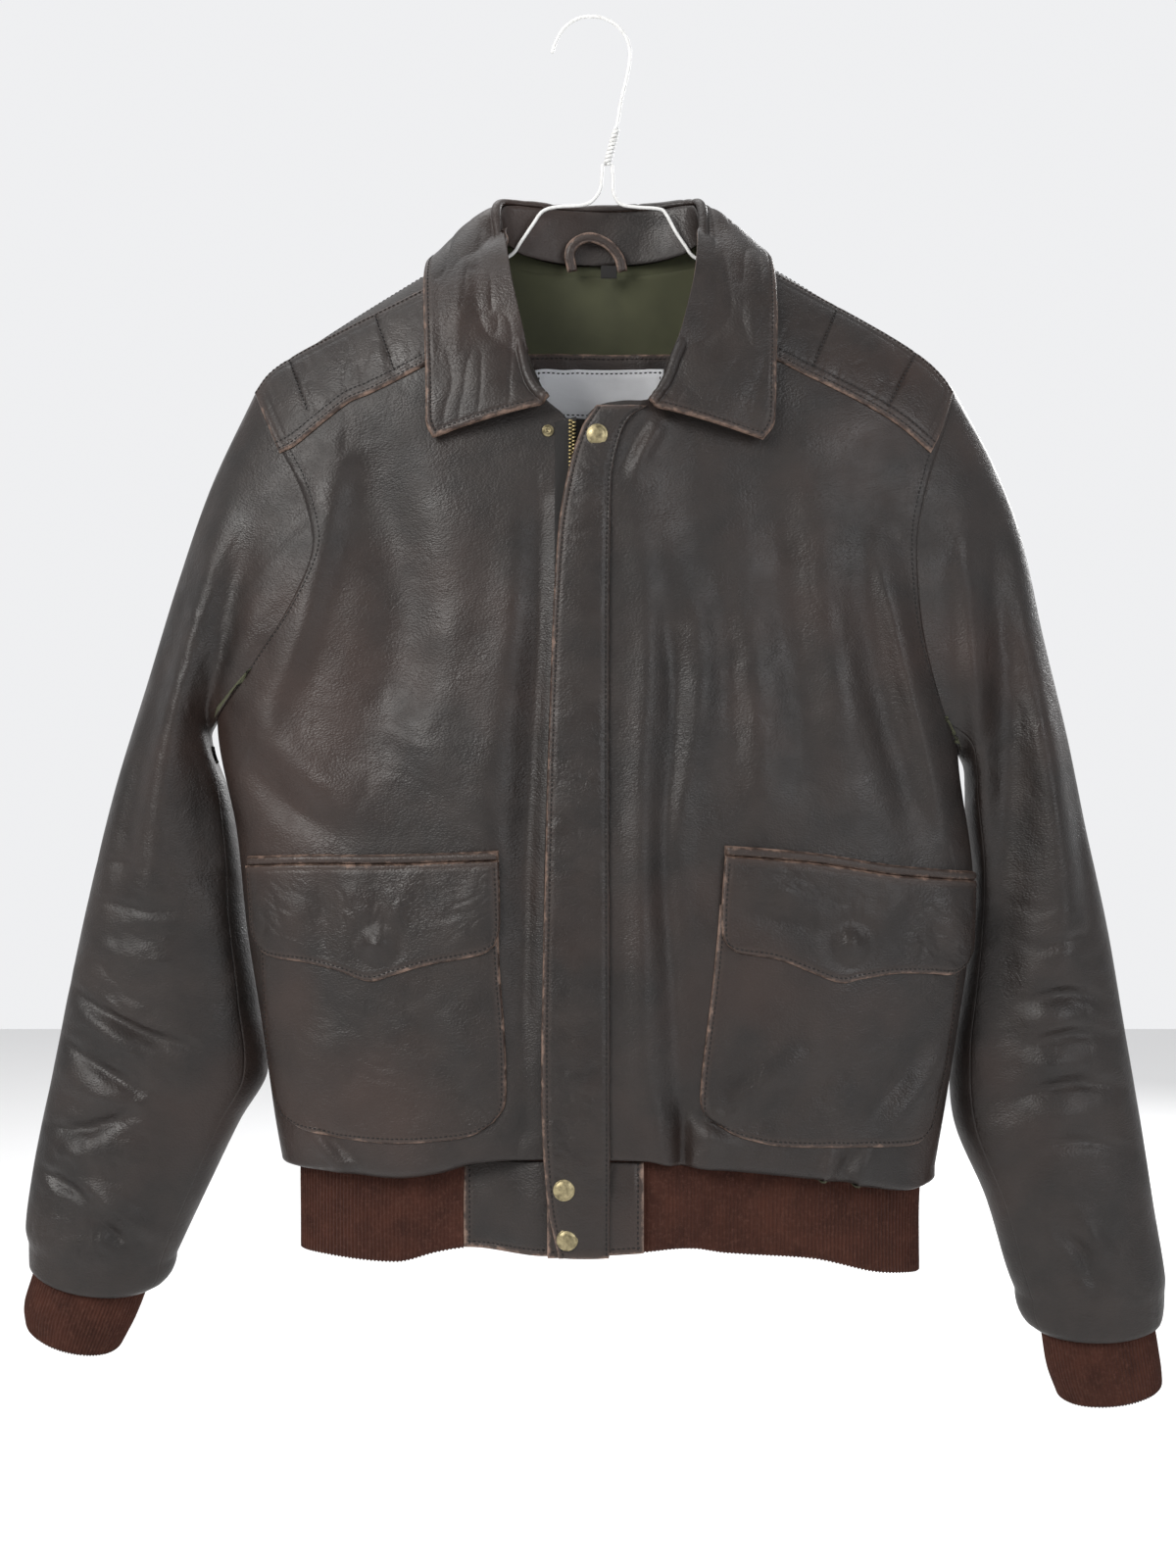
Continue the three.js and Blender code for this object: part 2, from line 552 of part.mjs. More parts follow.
// A point of the waist. way is 0 at the middle front, 1 at a side and 2 at the middle back, and it is
// negative to the wearer's right.
function waistPoint(way, down, lifted = false, end = false) {
  const side = way < 0 ? -1 : 1;
  const back = Math.abs(way) > 1;
  const angle = (Math.abs(way) * Math.PI) / 2;
  const n = 2 / (back ? BACK_POWER : FRONT_POWER);
  const reach = side < 0 ? WAIST_CENTRE - WAIST_SIDE.right : WAIST_SIDE.left - WAIST_CENTRE;
  const x = WAIST_CENTRE + side * reach * Math.abs(Math.sin(angle)) ** n;
  const middle = (end ? END_FORWARD : KNIT_FORWARD) * towardsMiddle(x);
  const forward = WAIST_FRONT_DEPTH + middle + (lifted ? flapLift(x) : 0);
  const depth = (back ? WAIST_BACK_DEPTH : forward) * Math.abs(Math.cos(angle)) ** n;
  const low = back ? WAIST_LOW_BACK(x) : WAIST_LOW_FRONT(x);
  const belly = WAIST_BELLY.depth * Math.sin(Math.PI * Math.min(down * WAIST_BELLY.spread, 1));
  const y = WAIST_RIDGE_Y + (back ? 1 : -1) * (depth + belly * Math.abs(Math.cos(angle)));
  const top = end ? HEM[lifted ? "left" : "right"](x) + 4 * SEAM : WAIST_TOP;
  return new THREE.Vector3(x, y, -mix(top, low, down));
}

// The way round the waist's front at which x lies.
function waistWay(x) {
  const side = x < WAIST_CENTRE ? -1 : 1;
  const reach = side < 0 ? WAIST_CENTRE - WAIST_SIDE.right : WAIST_SIDE.left - WAIST_CENTRE;
  const share = Math.min(Math.abs(x - WAIST_CENTRE) / reach, 1);
  return side * (2 / Math.PI) * Math.asin(share ** (FRONT_POWER / 2));
}

// Pieces that lie on a panel

const asSolid = (geometry) => {
  const bare = new THREE.BufferGeometry().setAttribute("position", geometry.getAttribute("position"));
  if (geometry.index) bare.setIndex(geometry.index);
  const merged = mergeVertices(bare, 1e-4);
  return new wasm.Manifold(new wasm.Mesh({
    numProp: 3,
    vertProperties: merged.getAttribute("position").array,
    triVerts: new Uint32Array(merged.index.array),
  }));
};

const asGeometry = (solid) => {
  const mesh = solid.getMesh();
  return new THREE.BufferGeometry()
    .setAttribute("position", new THREE.BufferAttribute(mesh.vertProperties, 3))
    .setIndex(new THREE.BufferAttribute(mesh.triVerts, 1));
};

// The solid between two distances above a panel, inside an outline of [x, drop] points seen from the front.
function layer({ points, normals }, low, high, outline, face = -1) {
  const outer = points.map((row, r) => row.map((p, c) => p.clone().addScaledVector(normals[r][c], high)));
  const slab = asSolid(wall(outer, normals, high - low, false, points));
  const shape = new THREE.Shape(outline.map(([x, drop]) => new THREE.Vector2(x, -drop)));
  const prism = new THREE.ExtrudeGeometry(shape, { depth: PRISM.depth, bevelEnabled: false });
  prism.rotateX(Math.PI / 2);
  prism.translate(0, face < 0 ? PRISM.behindFront : PRISM.behindBack, 0);
  return mainBody(slab.intersect(asSolid(prism)));
}

// The space between a panel and a layer that starts above it.
function grownLayer({ points, normals }, height) {
  const outer = points.map((row, r) => row.map((p, c) => p.clone().addScaledVector(normals[r][c], height)));
  return asSolid(wall(outer, normals, height + LEATHER, false, points));
}

// The largest body of a solid.
const mainBody = (solid) => solid.decompose().sort((a, b) => b.volume() - a.volume())[0];

const jacket = new THREE.Group();
const materials = {
  leather: new THREE.MeshStandardMaterial({ color: BROWN, roughness: 0.45, metalness: 0 }),
  knit: new THREE.MeshStandardMaterial({ color: RIB, roughness: 0.95, metalness: 0 }),
  lining: new THREE.MeshStandardMaterial({ color: OLIVE, roughness: 0.8, metalness: 0 }),
  label: new THREE.MeshStandardMaterial({ color: LABEL, roughness: 0.7, metalness: 0 }),
  tape: new THREE.MeshStandardMaterial({ color: TAPE, roughness: 0.85, metalness: 0 }),
  brass: new THREE.MeshStandardMaterial({ color: BRASS, roughness: 0.4, metalness: 1 }),
  wire: new THREE.MeshStandardMaterial({ color: WHITE_WIRE, roughness: 0.4, metalness: 0.2 }),
};

function add(name, geometry, material) {
  const mesh = new THREE.Mesh(geometry, materials[material]);
  mesh.name = name;
  jacket.add(mesh);
  return mesh;
}

// Body and sleeves, whose walls share their seam points and normals

const bodies = {
  right: { points: frontPoints("right") },
  left: { points: frontPoints("left") },
};
const back = { points: backPoints() };
for (const side of ["right", "left"]) {
  bodies[side].normals = flipTowards(gridNormals(bodies[side].points, false), new THREE.Vector3(0, -1, 0));
}
back.normals = flipTowards(gridNormals(back.points, false), new THREE.Vector3(0, 1, 0));

const level = (n) => n.setY(0).normalize();
const lastColumn = { right: 0, left: back.points[0].length - 1 };
const sleeves = {};
for (const side of ["right", "left"]) {
  const front = bodies[side];
  const edge = FRONT_COLUMNS;
  front.normals[0].forEach(level);
  front.normals.slice(ARMHOLE_ROWS).forEach((row) => level(row[edge]));
  back.normals.slice(ARMHOLE_ROWS).forEach((row) => level(row[lastColumn[side]]));
  const seamFront = front.points.slice(0, ARMHOLE_ROWS + 1).map((row) => row[edge]);
  const seamBack = back.points.slice(0, ARMHOLE_ROWS + 1).map((row) => row[lastColumn[side]]);
  const middle = (p, q) => p.clone().add(q).multiplyScalar(0.5);
  const armhole = [
    middle(seamFront[0], seamBack[0]),
    ...seamFront.slice(1, ARMHOLE_ROWS),
    middle(seamFront[ARMHOLE_ROWS], seamBack[ARMHOLE_ROWS]),
    ...seamBack.slice(1, ARMHOLE_ROWS).reverse(),
  ].map((p) => p.clone());
  const rings = sleevePoints(side, armhole);
  const outwards = new THREE.Vector3(side === "right" ? -1 : 1, 0, 0);
  const normals = gridNormals(rings, true);
  if (normals[8][0].dot(outwards) < 0) normals.flat().forEach((n) => n.negate());
  rings[0] = rings[0].map((p, i) => {
    const lowness = (1 - Math.cos((i / rings[0].length) * 2 * Math.PI)) / 2;
    const under = smooth((lowness - UNDERARM_GAP.from) / UNDERARM_GAP.over);
    return setBack(p, rings[1][i], mix(2 * SEAM, UNDERARM_GAP.gap, under));
  });
  const share = (own, other) => {
    const common = own.clone().add(other).normalize();
    own.copy(common);
    other.copy(common);
  };
  for (let i = 0; i <= ARMHOLE_ROWS; i++) {
    share(front.normals[i][edge], normals[0][i]);
    share(back.normals[i][lastColumn[side]], normals[0][(2 * ARMHOLE_ROWS - i) % (2 * ARMHOLE_ROWS)]);
  }
  back.normals[0][lastColumn[side]].copy(normals[0][0]);
  front.normals[0][edge].copy(normals[0][0]);
  sleeves[side] = { rings, normals };
}
back.normals[0].forEach((n, c) => {
  const x = back.points[0][c].x;
  if (x <= neckX.right || x >= neckX.left) level(n);
});

add("front_right", wall(bodies.right.points, bodies.right.normals, LEATHER), "leather");
add("front_left", wall(bodies.left.points, bodies.left.normals, LEATHER), "leather");
add("back", wall(back.points, back.normals, LEATHER), "leather");

// Each sleeve is a top and an under piece; the seams run down its inner side, in front and behind.
const FRONT_SEAM = ARMHOLE_ROWS - 2;
const BACK_SEAM = ARMHOLE_ROWS + 4;
for (const side of ["right", "left"]) {
  const { rings, normals } = sleeves[side];
  const count = rings[0].length;
  const piece = (from, to) => {
    const columns = [];
    for (let c = from; c <= to; c++) columns.push(((c % count) + count) % count);
    const take = (grid) => grid.map((row) => columns.map((c) => row[c].clone()));
    const points = take(rings);
    points.forEach((row) => {
      const end = row.length - 1;
      row[0] = setBack(row[0], row[1], SEAM / 2);
      row[end] = setBack(row[end], row[end - 1], SEAM / 2);
    });
    return wall(points, take(normals), LEATHER);
  };
  add(`sleeve_${side}_top`, piece(BACK_SEAM - count, FRONT_SEAM), "leather");
  add(`sleeve_${side}_under`, piece(FRONT_SEAM, BACK_SEAM), "leather");
}

// Knit cuffs
const CUFF_COLUMNS = 16;
const CUFF_ROWS = 3;
for (const side of ["right", "left"]) {
  const turns = evenly(CUFF_COLUMNS).slice(0, CUFF_COLUMNS);
  const rings = evenly(CUFF_ROWS).map((t) => turns.map((turn) => tubePoint(CUFF[side](t), turn)));
  const normals = gridNormals(rings, true);
  const outwards = new THREE.Vector3(side === "right" ? -1 : 1, 0, 0);
  if (normals[1][0].dot(outwards) < 0) normals.flat().forEach((n) => n.negate());
  add(`cuff_${side}`, wall(rings, normals, KNIT, true), "knit");
}

// Waist: the knit band goes round the back between the two leather ends. Ways count on past the middle back
// from the left side, so the whole way round is 4.
const BAND_WAY = {
  right: waistWay(-81), left: waistWay(31), underLeft: waistWay(24), endRight: waistWay(-12),
};
const BAND_COLUMNS = 30;
const BAND_ROWS = 4;
const WHOLE_WAY = 4;
const BAND_GAP = 0.004;

function waistEnd(from, to, lifted) {
  const [columns, rows] = [6, 3];
  const pointAt = (u, t) => waistPoint(mix(from, to, u), t, lifted, true);
  const points = evenly(rows).map((t) => evenly(columns).map((u) => pointAt(u, t)));
  const normals = flipTowards(gridNormals(points, false), new THREE.Vector3(0, -1, 0));
  return wall(points, normals, THIN_LEATHER);
}

const bandPoints = evenly(BAND_ROWS).map((down) => evenly(BAND_COLUMNS).map((u) => {
  const way = mix(BAND_WAY.underLeft, WHOLE_WAY + BAND_WAY.right - BAND_GAP, u);
  return waistPoint(way > WHOLE_WAY / 2 ? way - WHOLE_WAY : way, down, way < 1);
}));
const bandNormals = flipTowards(gridNormals(bandPoints, false), new THREE.Vector3(0, 1, 0));
add("waist_rib", wall(bandPoints, bandNormals, KNIT), "knit");
add("waist_end_right", waistEnd(BAND_WAY.right, BAND_WAY.endRight, false), "leather");
add("waist_end_left", waistEnd(waistWay(-28), BAND_WAY.left, true), "leather");

// Pockets: a bag with a flap over its mouth, and a welt along the flap's top
const POCKET_THICKNESS = 1.6;
const FLAP_THICKNESS = 2.2;
const WELT_THICKNESS = 5;
const POCKETS = {
  right: {
    bag: [[-211, 600], [-209, 645], [-207, 671], [-203, 697], [-196, 711], [-182, 718], [-158, 722],
      [-127, 724],
      [-96, 722], [-75, 718], [-62, 710], [-55, 700], [-54, 682], [-55, 656], [-58, 617], [-60, 560],
      [-214, 563]],
    flap: [[-219, 556], [-216.5, 577], [-215, 593], [-210, 604], [-202, 609], [-179, 612], [-158, 617],
      [-139, 623],
      [-124, 619], [-104, 613], [-78, 608], [-67, 605], [-61, 600], [-58.5, 590], [-58.5, 573], [-59, 552]],
    welt: [[-219, 552], [-219, 546], [-180, 544.5], [-140, 544.5], [-100, 543.5], [-59, 541.5], [-59, 547.5],
      [-100, 549.5], [-140, 550.5], [-180, 550.5]],
    snap: [-134, 603],
  },
  left: {
    bag: [[79, 575], [77, 597], [74, 627], [70, 658], [67, 684], [67, 700], [73, 709], [88, 718],
      [109, 724], [129, 726],
      [166, 727], [194, 728], [207, 726], [214, 717], [220, 697], [226, 668], [232, 629], [236, 590]],
    flap: [[84, 546], [80, 570], [80, 594], [83, 600], [90, 605], [114, 609], [135, 617], [154, 624],
      [166, 622],
      [188, 619], [212, 619.5], [226, 620.5], [235, 615], [240, 605], [241, 587], [242, 566], [191, 560],
      [140, 552]],
    welt: [[82, 545], [82, 538.5], [110, 540.5], [140, 543.5], [192, 551.5], [242, 556], [242, 562],
      [192, 558], [140, 550], [110, 547]],
    snap: [161, 600],
  },
};
const SNAP_BUMP = { radius: 9, height: 3.2, middle: 1.65 };

for (const side of ["right", "left"]) {
  const { bag, flap, welt, snap } = POCKETS[side];
  const panel = bodies[side];
  const flapLow = SEAM * 2 + POCKET_THICKNESS;
  add(`pocket_${side}`, asGeometry(layer(panel, SEAM, SEAM + POCKET_THICKNESS, bag)), "leather");
  const surface = side === "right" ? rightFront : leftFront;
  const [x, drop] = snap;
  const out = normalAt(surface, x, drop, -1);
  const bump = new THREE.SphereGeometry(1, 10, 6).scale(SNAP_BUMP.radius, SNAP_BUMP.height, SNAP_BUMP.radius);
  bump.translate(...surface(x, drop).addScaledVector(out, flapLow + SNAP_BUMP.middle).toArray());
  const cover = layer(panel, flapLow, flapLow + FLAP_THICKNESS, flap);
  const below = grownLayer(panel, flapLow);
  add(`pocket_flap_${side}`, asGeometry(mainBody(cover.add(asSolid(bump)).subtract(below))), "leather");
  add(`pocket_welt_${side}`, asGeometry(layer(panel, SEAM, SEAM + WELT_THICKNESS, welt)), "leather");
}

// Epaulettes lie on the front of the shoulders
const EPAULETTE_THICKNESS = 2.8;
const EPAULETTES = {
  right: [[-219, 247], [-209, 233.5], [-193, 223], [-176, 214.5], [-157, 205.5], [-131, 193.5], [-100, 179],
    [-96, 229], [-108, 235], [-121, 242], [-142, 252], [-155, 257], [-171, 269], [-190, 284], [-200, 288.5]],
  left: [[112, 169], [145, 186], [172, 200], [198, 214.5], [217, 227.5], [227, 237.5], [233, 246.5],
    [224, 272], [216, 288], [194, 270.5], [168, 256], [134, 240], [118, 232], [104, 227]],
};
for (const side of ["right", "left"]) {
  const strap = layer(bodies[side], SEAM, SEAM + EPAULETTE_THICKNESS, EPAULETTES[side]);
  add(`epaulette_${side}`, asGeometry(strap), "leather");
}

// The flap over the zip: a strip on the left front that runs on down over the waist's left end
const WIND_FLAP_LIFT = 0.9;
const WIND_FLAP_THICKNESS = 2.2;
const WIND_FLAP_COLUMNS = 4;
const WIND_FLAP_LEAVES_FRONT = { from: 733, over: 30 };
const windFlapEdge = graph([[262, 2], [268, -2], [276, -7], [300, -14.6], [340, -21.6], [432, -26.6],
  [590, -30.6], [700, -31.6], [760, -28], [794, -21]]);
const windFlapSeam = graph([[262, 34], [268, 24], [280, 17], [310, 11], [460, 9], [650, 9.5], [794, 9.5]]);
const WIND_FLAP_DROPS = [
  262, 267, 274, 284, 300, 322, 350, 385, 425, 470, 515, 560, 605, 650, 690, 722, 738, 762, 793,
];

function windFlapPoint(u, drop) {
  const x = mix(windFlapEdge(drop), windFlapSeam(drop), u);
  const { from, over } = WIND_FLAP_LEAVES_FRONT;
  const onFront = leftFront(x, Math.min(drop, from)).y;
  const down = (drop - HEM.left(x)) / (WAIST_LOW_FRONT(x) - HEM.left(x));
  const onBand = waistPoint(waistWay(x), down, true, true).y;
  const y = mix(onFront, onBand, smooth((drop - from) / over));
  return new THREE.Vector3(x, y - WIND_FLAP_LIFT - WIND_FLAP_THICKNESS, -drop);
}
const windFlapShares = evenly(WIND_FLAP_COLUMNS);
const windFlapPoints = WIND_FLAP_DROPS.map((drop) => windFlapShares.map((u) => windFlapPoint(u, drop)));
const windFlapNormals = flipTowards(gridNormals(windFlapPoints, false), new THREE.Vector3(0, -1, 0));
add("wind_flap", wall(windFlapPoints, windFlapNormals, WIND_FLAP_THICKNESS), "leather");

// The zip under it: a tape on the right front's edge, and the closed chain of teeth
const zipTape = [[-24, 279], [-10.6, 268], [-10.4, 732], [-24, 732]];
const zipChain = [[-15, 275], [-10.9, 270], [-10.7, 728], [-15, 728]];
const ZIP = { tapeTop: 1, chainLow: 1.3, chainTop: 3 };
add("zip_tape", asGeometry(layer(bodies.right, SEAM, ZIP.tapeTop, zipTape)), "tape");
add("zip_chain", asGeometry(layer(bodies.right, ZIP.chainLow, ZIP.chainTop, zipChain)), "brass");

// Snaps: three caps on the flap, and one stud on the right front
const CAP = { radius: 6.6, height: 2.4, rim: 0.8 };
const SNAP_GAP = 3 * SEAM;
const SNAPS = { cap_top: [2.5, 281], cap_waist: [-18, 750], cap_low: [-16, 781] };
const capProfile = [[0, 0], [CAP.radius, 0], [CAP.radius, CAP.rim], [CAP.radius * 0.9, CAP.height * 0.75],
  [CAP.radius * 0.55, CAP.height * 0.95], [0, CAP.height]].map(([r, h]) => new THREE.Vector2(r, h));
for (const [name, [x, drop]] of Object.entries(SNAPS)) {
  const u = (x - windFlapEdge(drop)) / (windFlapSeam(drop) - windFlapEdge(drop));
  const at = windFlapPoint(u, drop);
  const cap = new THREE.LatheGeometry(capProfile, 14).rotateX(Math.PI);
  add(`snap_${name}`, cap.translate(at.x, at.y - SNAP_GAP, at.z), "brass");
}
const STUD = { x: -28.5, drop: 277, radius: 3.8, height: 1.8 };
const studProfile = [[0, 0], [STUD.radius, 0], [STUD.radius * 0.9, STUD.height],
  [STUD.radius * 0.4, STUD.height], [0, STUD.height * 0.6]].map(([r, h]) => new THREE.Vector2(r, h));
const studAt = rightFront(STUD.x, STUD.drop);
const stud = new THREE.LatheGeometry(studProfile, 12).rotateX(Math.PI);
add("snap_stud", stud.translate(studAt.x, studAt.y - SNAP_GAP, studAt.z), "brass");

// Collar: a stand round the neck, and the leaf that turns over its top and falls on the shoulders.
// Knots run from the right front (-1) round the back (0) to the left front (1), as [way, x, y, drop].
const NECK_LINE = curve([[-1, -29, -55, 257], [-0.85, -38, -52, 236], [-0.7, -48, -43, 214],
  [-0.55, -55, -30, 188],
  [-0.45, -57.5, -17, 166], [-0.36, -56, -4, 149], [-0.25, -46, 5, 153], [-0.1, -20, 13.5, 157],
  [0, 8, 15.5, 158],
  [0.1, 34, 13.5, 157], [0.25, 58, 5, 153], [0.36, 69, -4, 149], [0.45, 70.5, -17, 166], [0.55, 66, -32, 190],
  [0.7, 56, -48, 217], [0.85, 46, -57, 240], [1, 35, -61, 260]]);
const ROLL_LINE = curve([[-1, -27, -63, 256], [-0.93, -35, -59, 247], [-0.85, -39.8, -55, 233],
  [-0.75, -43.7, -49, 215],
  [-0.65, -47.6, -42, 198], [-0.56, -51.6, -34, 180], [-0.47, -55, -24, 161], [-0.39, -58, -14, 142],
  [-0.31, -59, -3, 124], [-0.22, -50, 5, 120], [-0.1, -24, 13, 121], [0, 8, 15, 122], [0.1, 40, 13, 121],
  [0.22, 61, 5, 120], [0.31, 67, -3, 124], [0.39, 68, -14, 142], [0.47, 67, -24, 159], [0.56, 64.6, -33, 177],
  [0.65, 61, -40, 193], [0.75, 56, -48, 212], [0.85, 49, -56, 230], [0.93, 43, -61, 246], [1, 34, -66, 259]]);
const LEAF_EDGE = curve([[-1, -101, -58, 281], [-0.93, -105, -58, 272], [-0.85, -105.5, -57, 256],
  [-0.75, -106, -54, 236], [-0.65, -107, -49, 213], [-0.56, -108, -42, 194], [-0.47, -109, -30, 174],
  [-0.39, -108, -14, 161], [-0.31, -103, 6, 157], [-0.22, -88, 25, 168], [-0.1, -48, 36, 184],
  [0, 8, 39, 190],
  [0.1, 62, 36, 184], [0.22, 98, 25, 168], [0.31, 111, 6, 153], [0.39, 116, -16, 159], [0.47, 117, -34, 174],
  [0.56, 117, -46, 195], [0.65, 116.5, -51, 215], [0.75, 115.5, -57, 240], [0.85, 115, -60, 260],
  [0.93, 113.5, -62, 274], [1, 107, -63, 283]]);
const LEAF_THICKNESS = 2.6;
const COLLAR_COLUMNS = 26;
const COLLAR_ROLL = 3.6;
const LEAF_BELLY = 5;
const LEAF_ROWS = 5;
const ROLL_TURNS = [0, 45, 90, 135, 170];
const WAY_STEP = 0.02;
// The leaf turns over from back to front between these ways, and leans back this much at the front
const LEAF_TURNS = { from: 0.28, over: 0.3, upright: 0.15 };
const LEAF_CLEAR = { inner: 1.8, outer: 5.6, from: 80, over: 15, front: 2, top: 1 };

const placed = (line, way) => {
  const [x, y, drop] = line(way);
  return new THREE.Vector3(x, y, -drop);
};
const square = (v, along) => v.clone().addScaledVector(along, -v.dot(along)).normalize();

// The collar's axes at one place: along the roll, up away from the neck seam, and out towards the leaf.
function collarFrame(way) {
  const [before, after] = [Math.max(way - WAY_STEP, -1), Math.min(way + WAY_STEP, 1)];
  const along = placed(ROLL_LINE, after).sub(placed(ROLL_LINE, before)).normalize();
  const forward = smooth((Math.abs(way) - LEAF_TURNS.from) / LEAF_TURNS.over);
  const up = square(new THREE.Vector3(0, -forward, mix(1, LEAF_TURNS.upright, forward)), along);
  const out = new THREE.Vector3().crossVectors(up, along);
  if (out.dot(placed(LEAF_EDGE, way).sub(placed(ROLL_LINE, way))) < 0) out.negate();
  return { along, up, out };
}

// The leaf lies clear of the fronts, and clear of the epaulettes further out.
function clearOfFront(p) {
  if (p.y > LEAF_CLEAR.front || -p.z < shoulderDrop(p.x) + LEAF_CLEAR.top) return p;
  const outward = smooth((Math.abs(p.x - CENTRE_X) - LEAF_CLEAR.from) / LEAF_CLEAR.over);
  const clear = LEAF_THICKNESS + mix(LEAF_CLEAR.inner, LEAF_CLEAR.outer, outward);
  const surface = p.x < CENTRE_X ? rightFront(p.x, -p.z) : leftFront(p.x, -p.z);
  p.y = Math.min(p.y, surface.y - clear);
  return p;
}

function leafColumn(way) {
  const { along, up, out } = collarFrame(way);
  const top = placed(ROLL_LINE, way).addScaledVector(up, SEAM);
  const column = ROLL_TURNS.map((degrees) => {
    const a = (degrees * Math.PI) / 180;
    const turned = top.clone().addScaledVector(out, COLLAR_ROLL * (1 - Math.cos(a)));
    return turned.addScaledVector(up, COLLAR_ROLL * Math.sin(a));
  });
  const start = column[column.length - 1];
  const edge = placed(LEAF_EDGE, way);
  const fall = edge.clone().sub(start).normalize();
  const proud = new THREE.Vector3().crossVectors(fall, along).normalize();
  if (proud.dot(up.clone().add(out)) < 0) proud.negate();
  evenly(LEAF_ROWS).slice(1).forEach((t) => {
    const belly = LEAF_BELLY * Math.sin(Math.PI * t ** 0.8) * (1 - 0.4 * Math.abs(way));
    column.push(start.clone().lerp(edge, t).addScaledVector(proud, belly));
  });
  return column.map(clearOfFront);
}

const ways = evenly(COLLAR_COLUMNS).map((u) => mix(-1, 1, u));
const leafColumns = ways.map(leafColumn);
const leafPoints = leafColumns[0].map((_, r) => leafColumns.map((column) => column[r]));
const leafNormals = flipTowards(gridNormals(leafPoints, false), new THREE.Vector3(0, 0.6, 1));
add("collar_leaf", wall(leafPoints, leafNormals, LEAF_THICKNESS), "leather");

const STAND_TOP_GAP = 1.5;
const standPoints = evenly(3).map((t) => ways.map((way) => {
  const [foot, top] = [placed(NECK_LINE, way), placed(ROLL_LINE, way)];
  return foot.lerp(setBack(top, foot, STAND_TOP_GAP), t);
}));
const standNormals = flipTowards(gridNormals(standPoints, false), new THREE.Vector3(0, -1, 0));
add("collar_stand", wall(standPoints, standNormals, THIN_LEATHER), "leather");

// Inside the back of the neck: lining, a leather patch on it, and a bare label on the patch
const inside = (low, thickness, outline) => asGeometry(layer(back, low - thickness, low, outline, 1));
const NECK_LINING = [[-60, 158], [-30, 163], [8, 165], [42, 163], [72, 158], [96, 185], [110, 240],
  [104, 330], [-88, 330], [-94, 240], [-82, 185]];
const LABEL_PATCH = [[-52, 216], [60, 216], [60, 278], [-52, 278]];
const LABEL_CLOTH = 0.6;
const NECK_LABEL = [[-38, 226], [47, 226], [47, 258], [-38, 258]];
add("neck_lining", inside(-LEATHER - SEAM, CLOTH, NECK_LINING), "lining");
add("label_patch", inside(-LEATHER - CLOTH - 2 * SEAM, THIN_LEATHER, LABEL_PATCH), "leather");
add("neck_label", inside(-LEATHER - CLOTH - THIN_LEATHER - 3 * SEAM, LABEL_CLOTH, NECK_LABEL), "label");

// The hanging loop and the size tab at the foot of the collar stand
const LOOP_BAND = { width: 6, thickness: 2, y: 10 };
const LOOP_LINE = curve([[0, -13.5, 163], [0.12, -15.4, 152], [0.3, -11.5, 144.5], [0.5, -2, 141],
  [0.7, 9, 145], [0.88, 17, 154], [1, 19.5, 163]]);
const loopRows = evenly(16).map((t) => {
  const [x, drop] = LOOP_LINE(t);
  const [bx, bd] = LOOP_LINE(Math.min(t + WAY_STEP, 1));
  const [ax, ad] = LOOP_LINE(Math.max(t - WAY_STEP, 0));
  const out = new THREE.Vector3(bd - ad, 0, bx - ax).normalize().multiplyScalar(-1);
  const middle = new THREE.Vector3(x, LOOP_BAND.y, -drop);
  return [-1, 1].map((k) => middle.clone().addScaledVector(out, (k * LOOP_BAND.width) / 2));
});
const loopNormals = loopRows.map((row) => row.map(() => new THREE.Vector3(0, -1, 0)));
add("hanging_loop", wall(loopRows, loopNormals, LOOP_BAND.thickness), "leather");
const TAB = { width: 10, thickness: 0.8, height: 8, x: 10.5, y: LOOP_BAND.y - 1.2, drop: 164 };
const tab = new THREE.BoxGeometry(TAB.width, TAB.thickness, TAB.height);
add("size_tab", tab.translate(TAB.x, TAB.y, -TAB.drop), "tape");

// Wire hanger: a hook, the twist under it, and the wire of the shoulders and the bar
const WIRE = 1.15;
const WIRE_SIDES = 6;
const HOOK = [[-26.5, 0, 22], [-24.5, 0, 16], [-20, 0, 8], [-14.5, 0, 2.8], [-8, 0, -0.4], [-1, 0, -WIRE],
  [5, 0, -0.6],
  [11, 0, 1.6], [17, 0, 6], [22, 0, 13], [24, 0, 20], [24, 0, 28], [21.8, 0, 40], [18.6, 0, 53],
  [16.5, 0, 65], [15.4, 0, 72]];
const SHOULDER_WIRE = [[6.4, 1, 96], [5.6, 1, 106], [4.2, 1, 113], [-1, 1, 119.5], [-8, 1, 122],
  [-24, 1, 123],
  [-33, 1, 126], [-39, 1, 134], [-47, 0, 146], [-54, 0, 155], [-80, 2, 168], [-120, 4, 188], [-165, 3, 212],
  [-196, 2, 234], [-202, 2, 246], [-197, 2, 259], [-186, 2, 266], [-120, 2, 281], [-50, 2, 288], [9, 2, 289],
  [70, 2, 288], [140, 2, 281], [200, 2, 268], [212, 2, 262], [217, 2, 250], [210, 2, 236], [180, 3, 213],
  [135, 4, 188], [93, 2, 168], [67, 0, 156.5], [60, 0, 148], [54, 1, 139], [48, 1, 128], [44, 1, 124.5],
  [28, 1, 123], [18, 1, 121], [13.6, 1, 114], [13, 1, 104], [12.6, 1, 96]];
const TWIST = { from: [15.2, 0, 73], to: [9.6, 1, 94], radius: 1.5 };

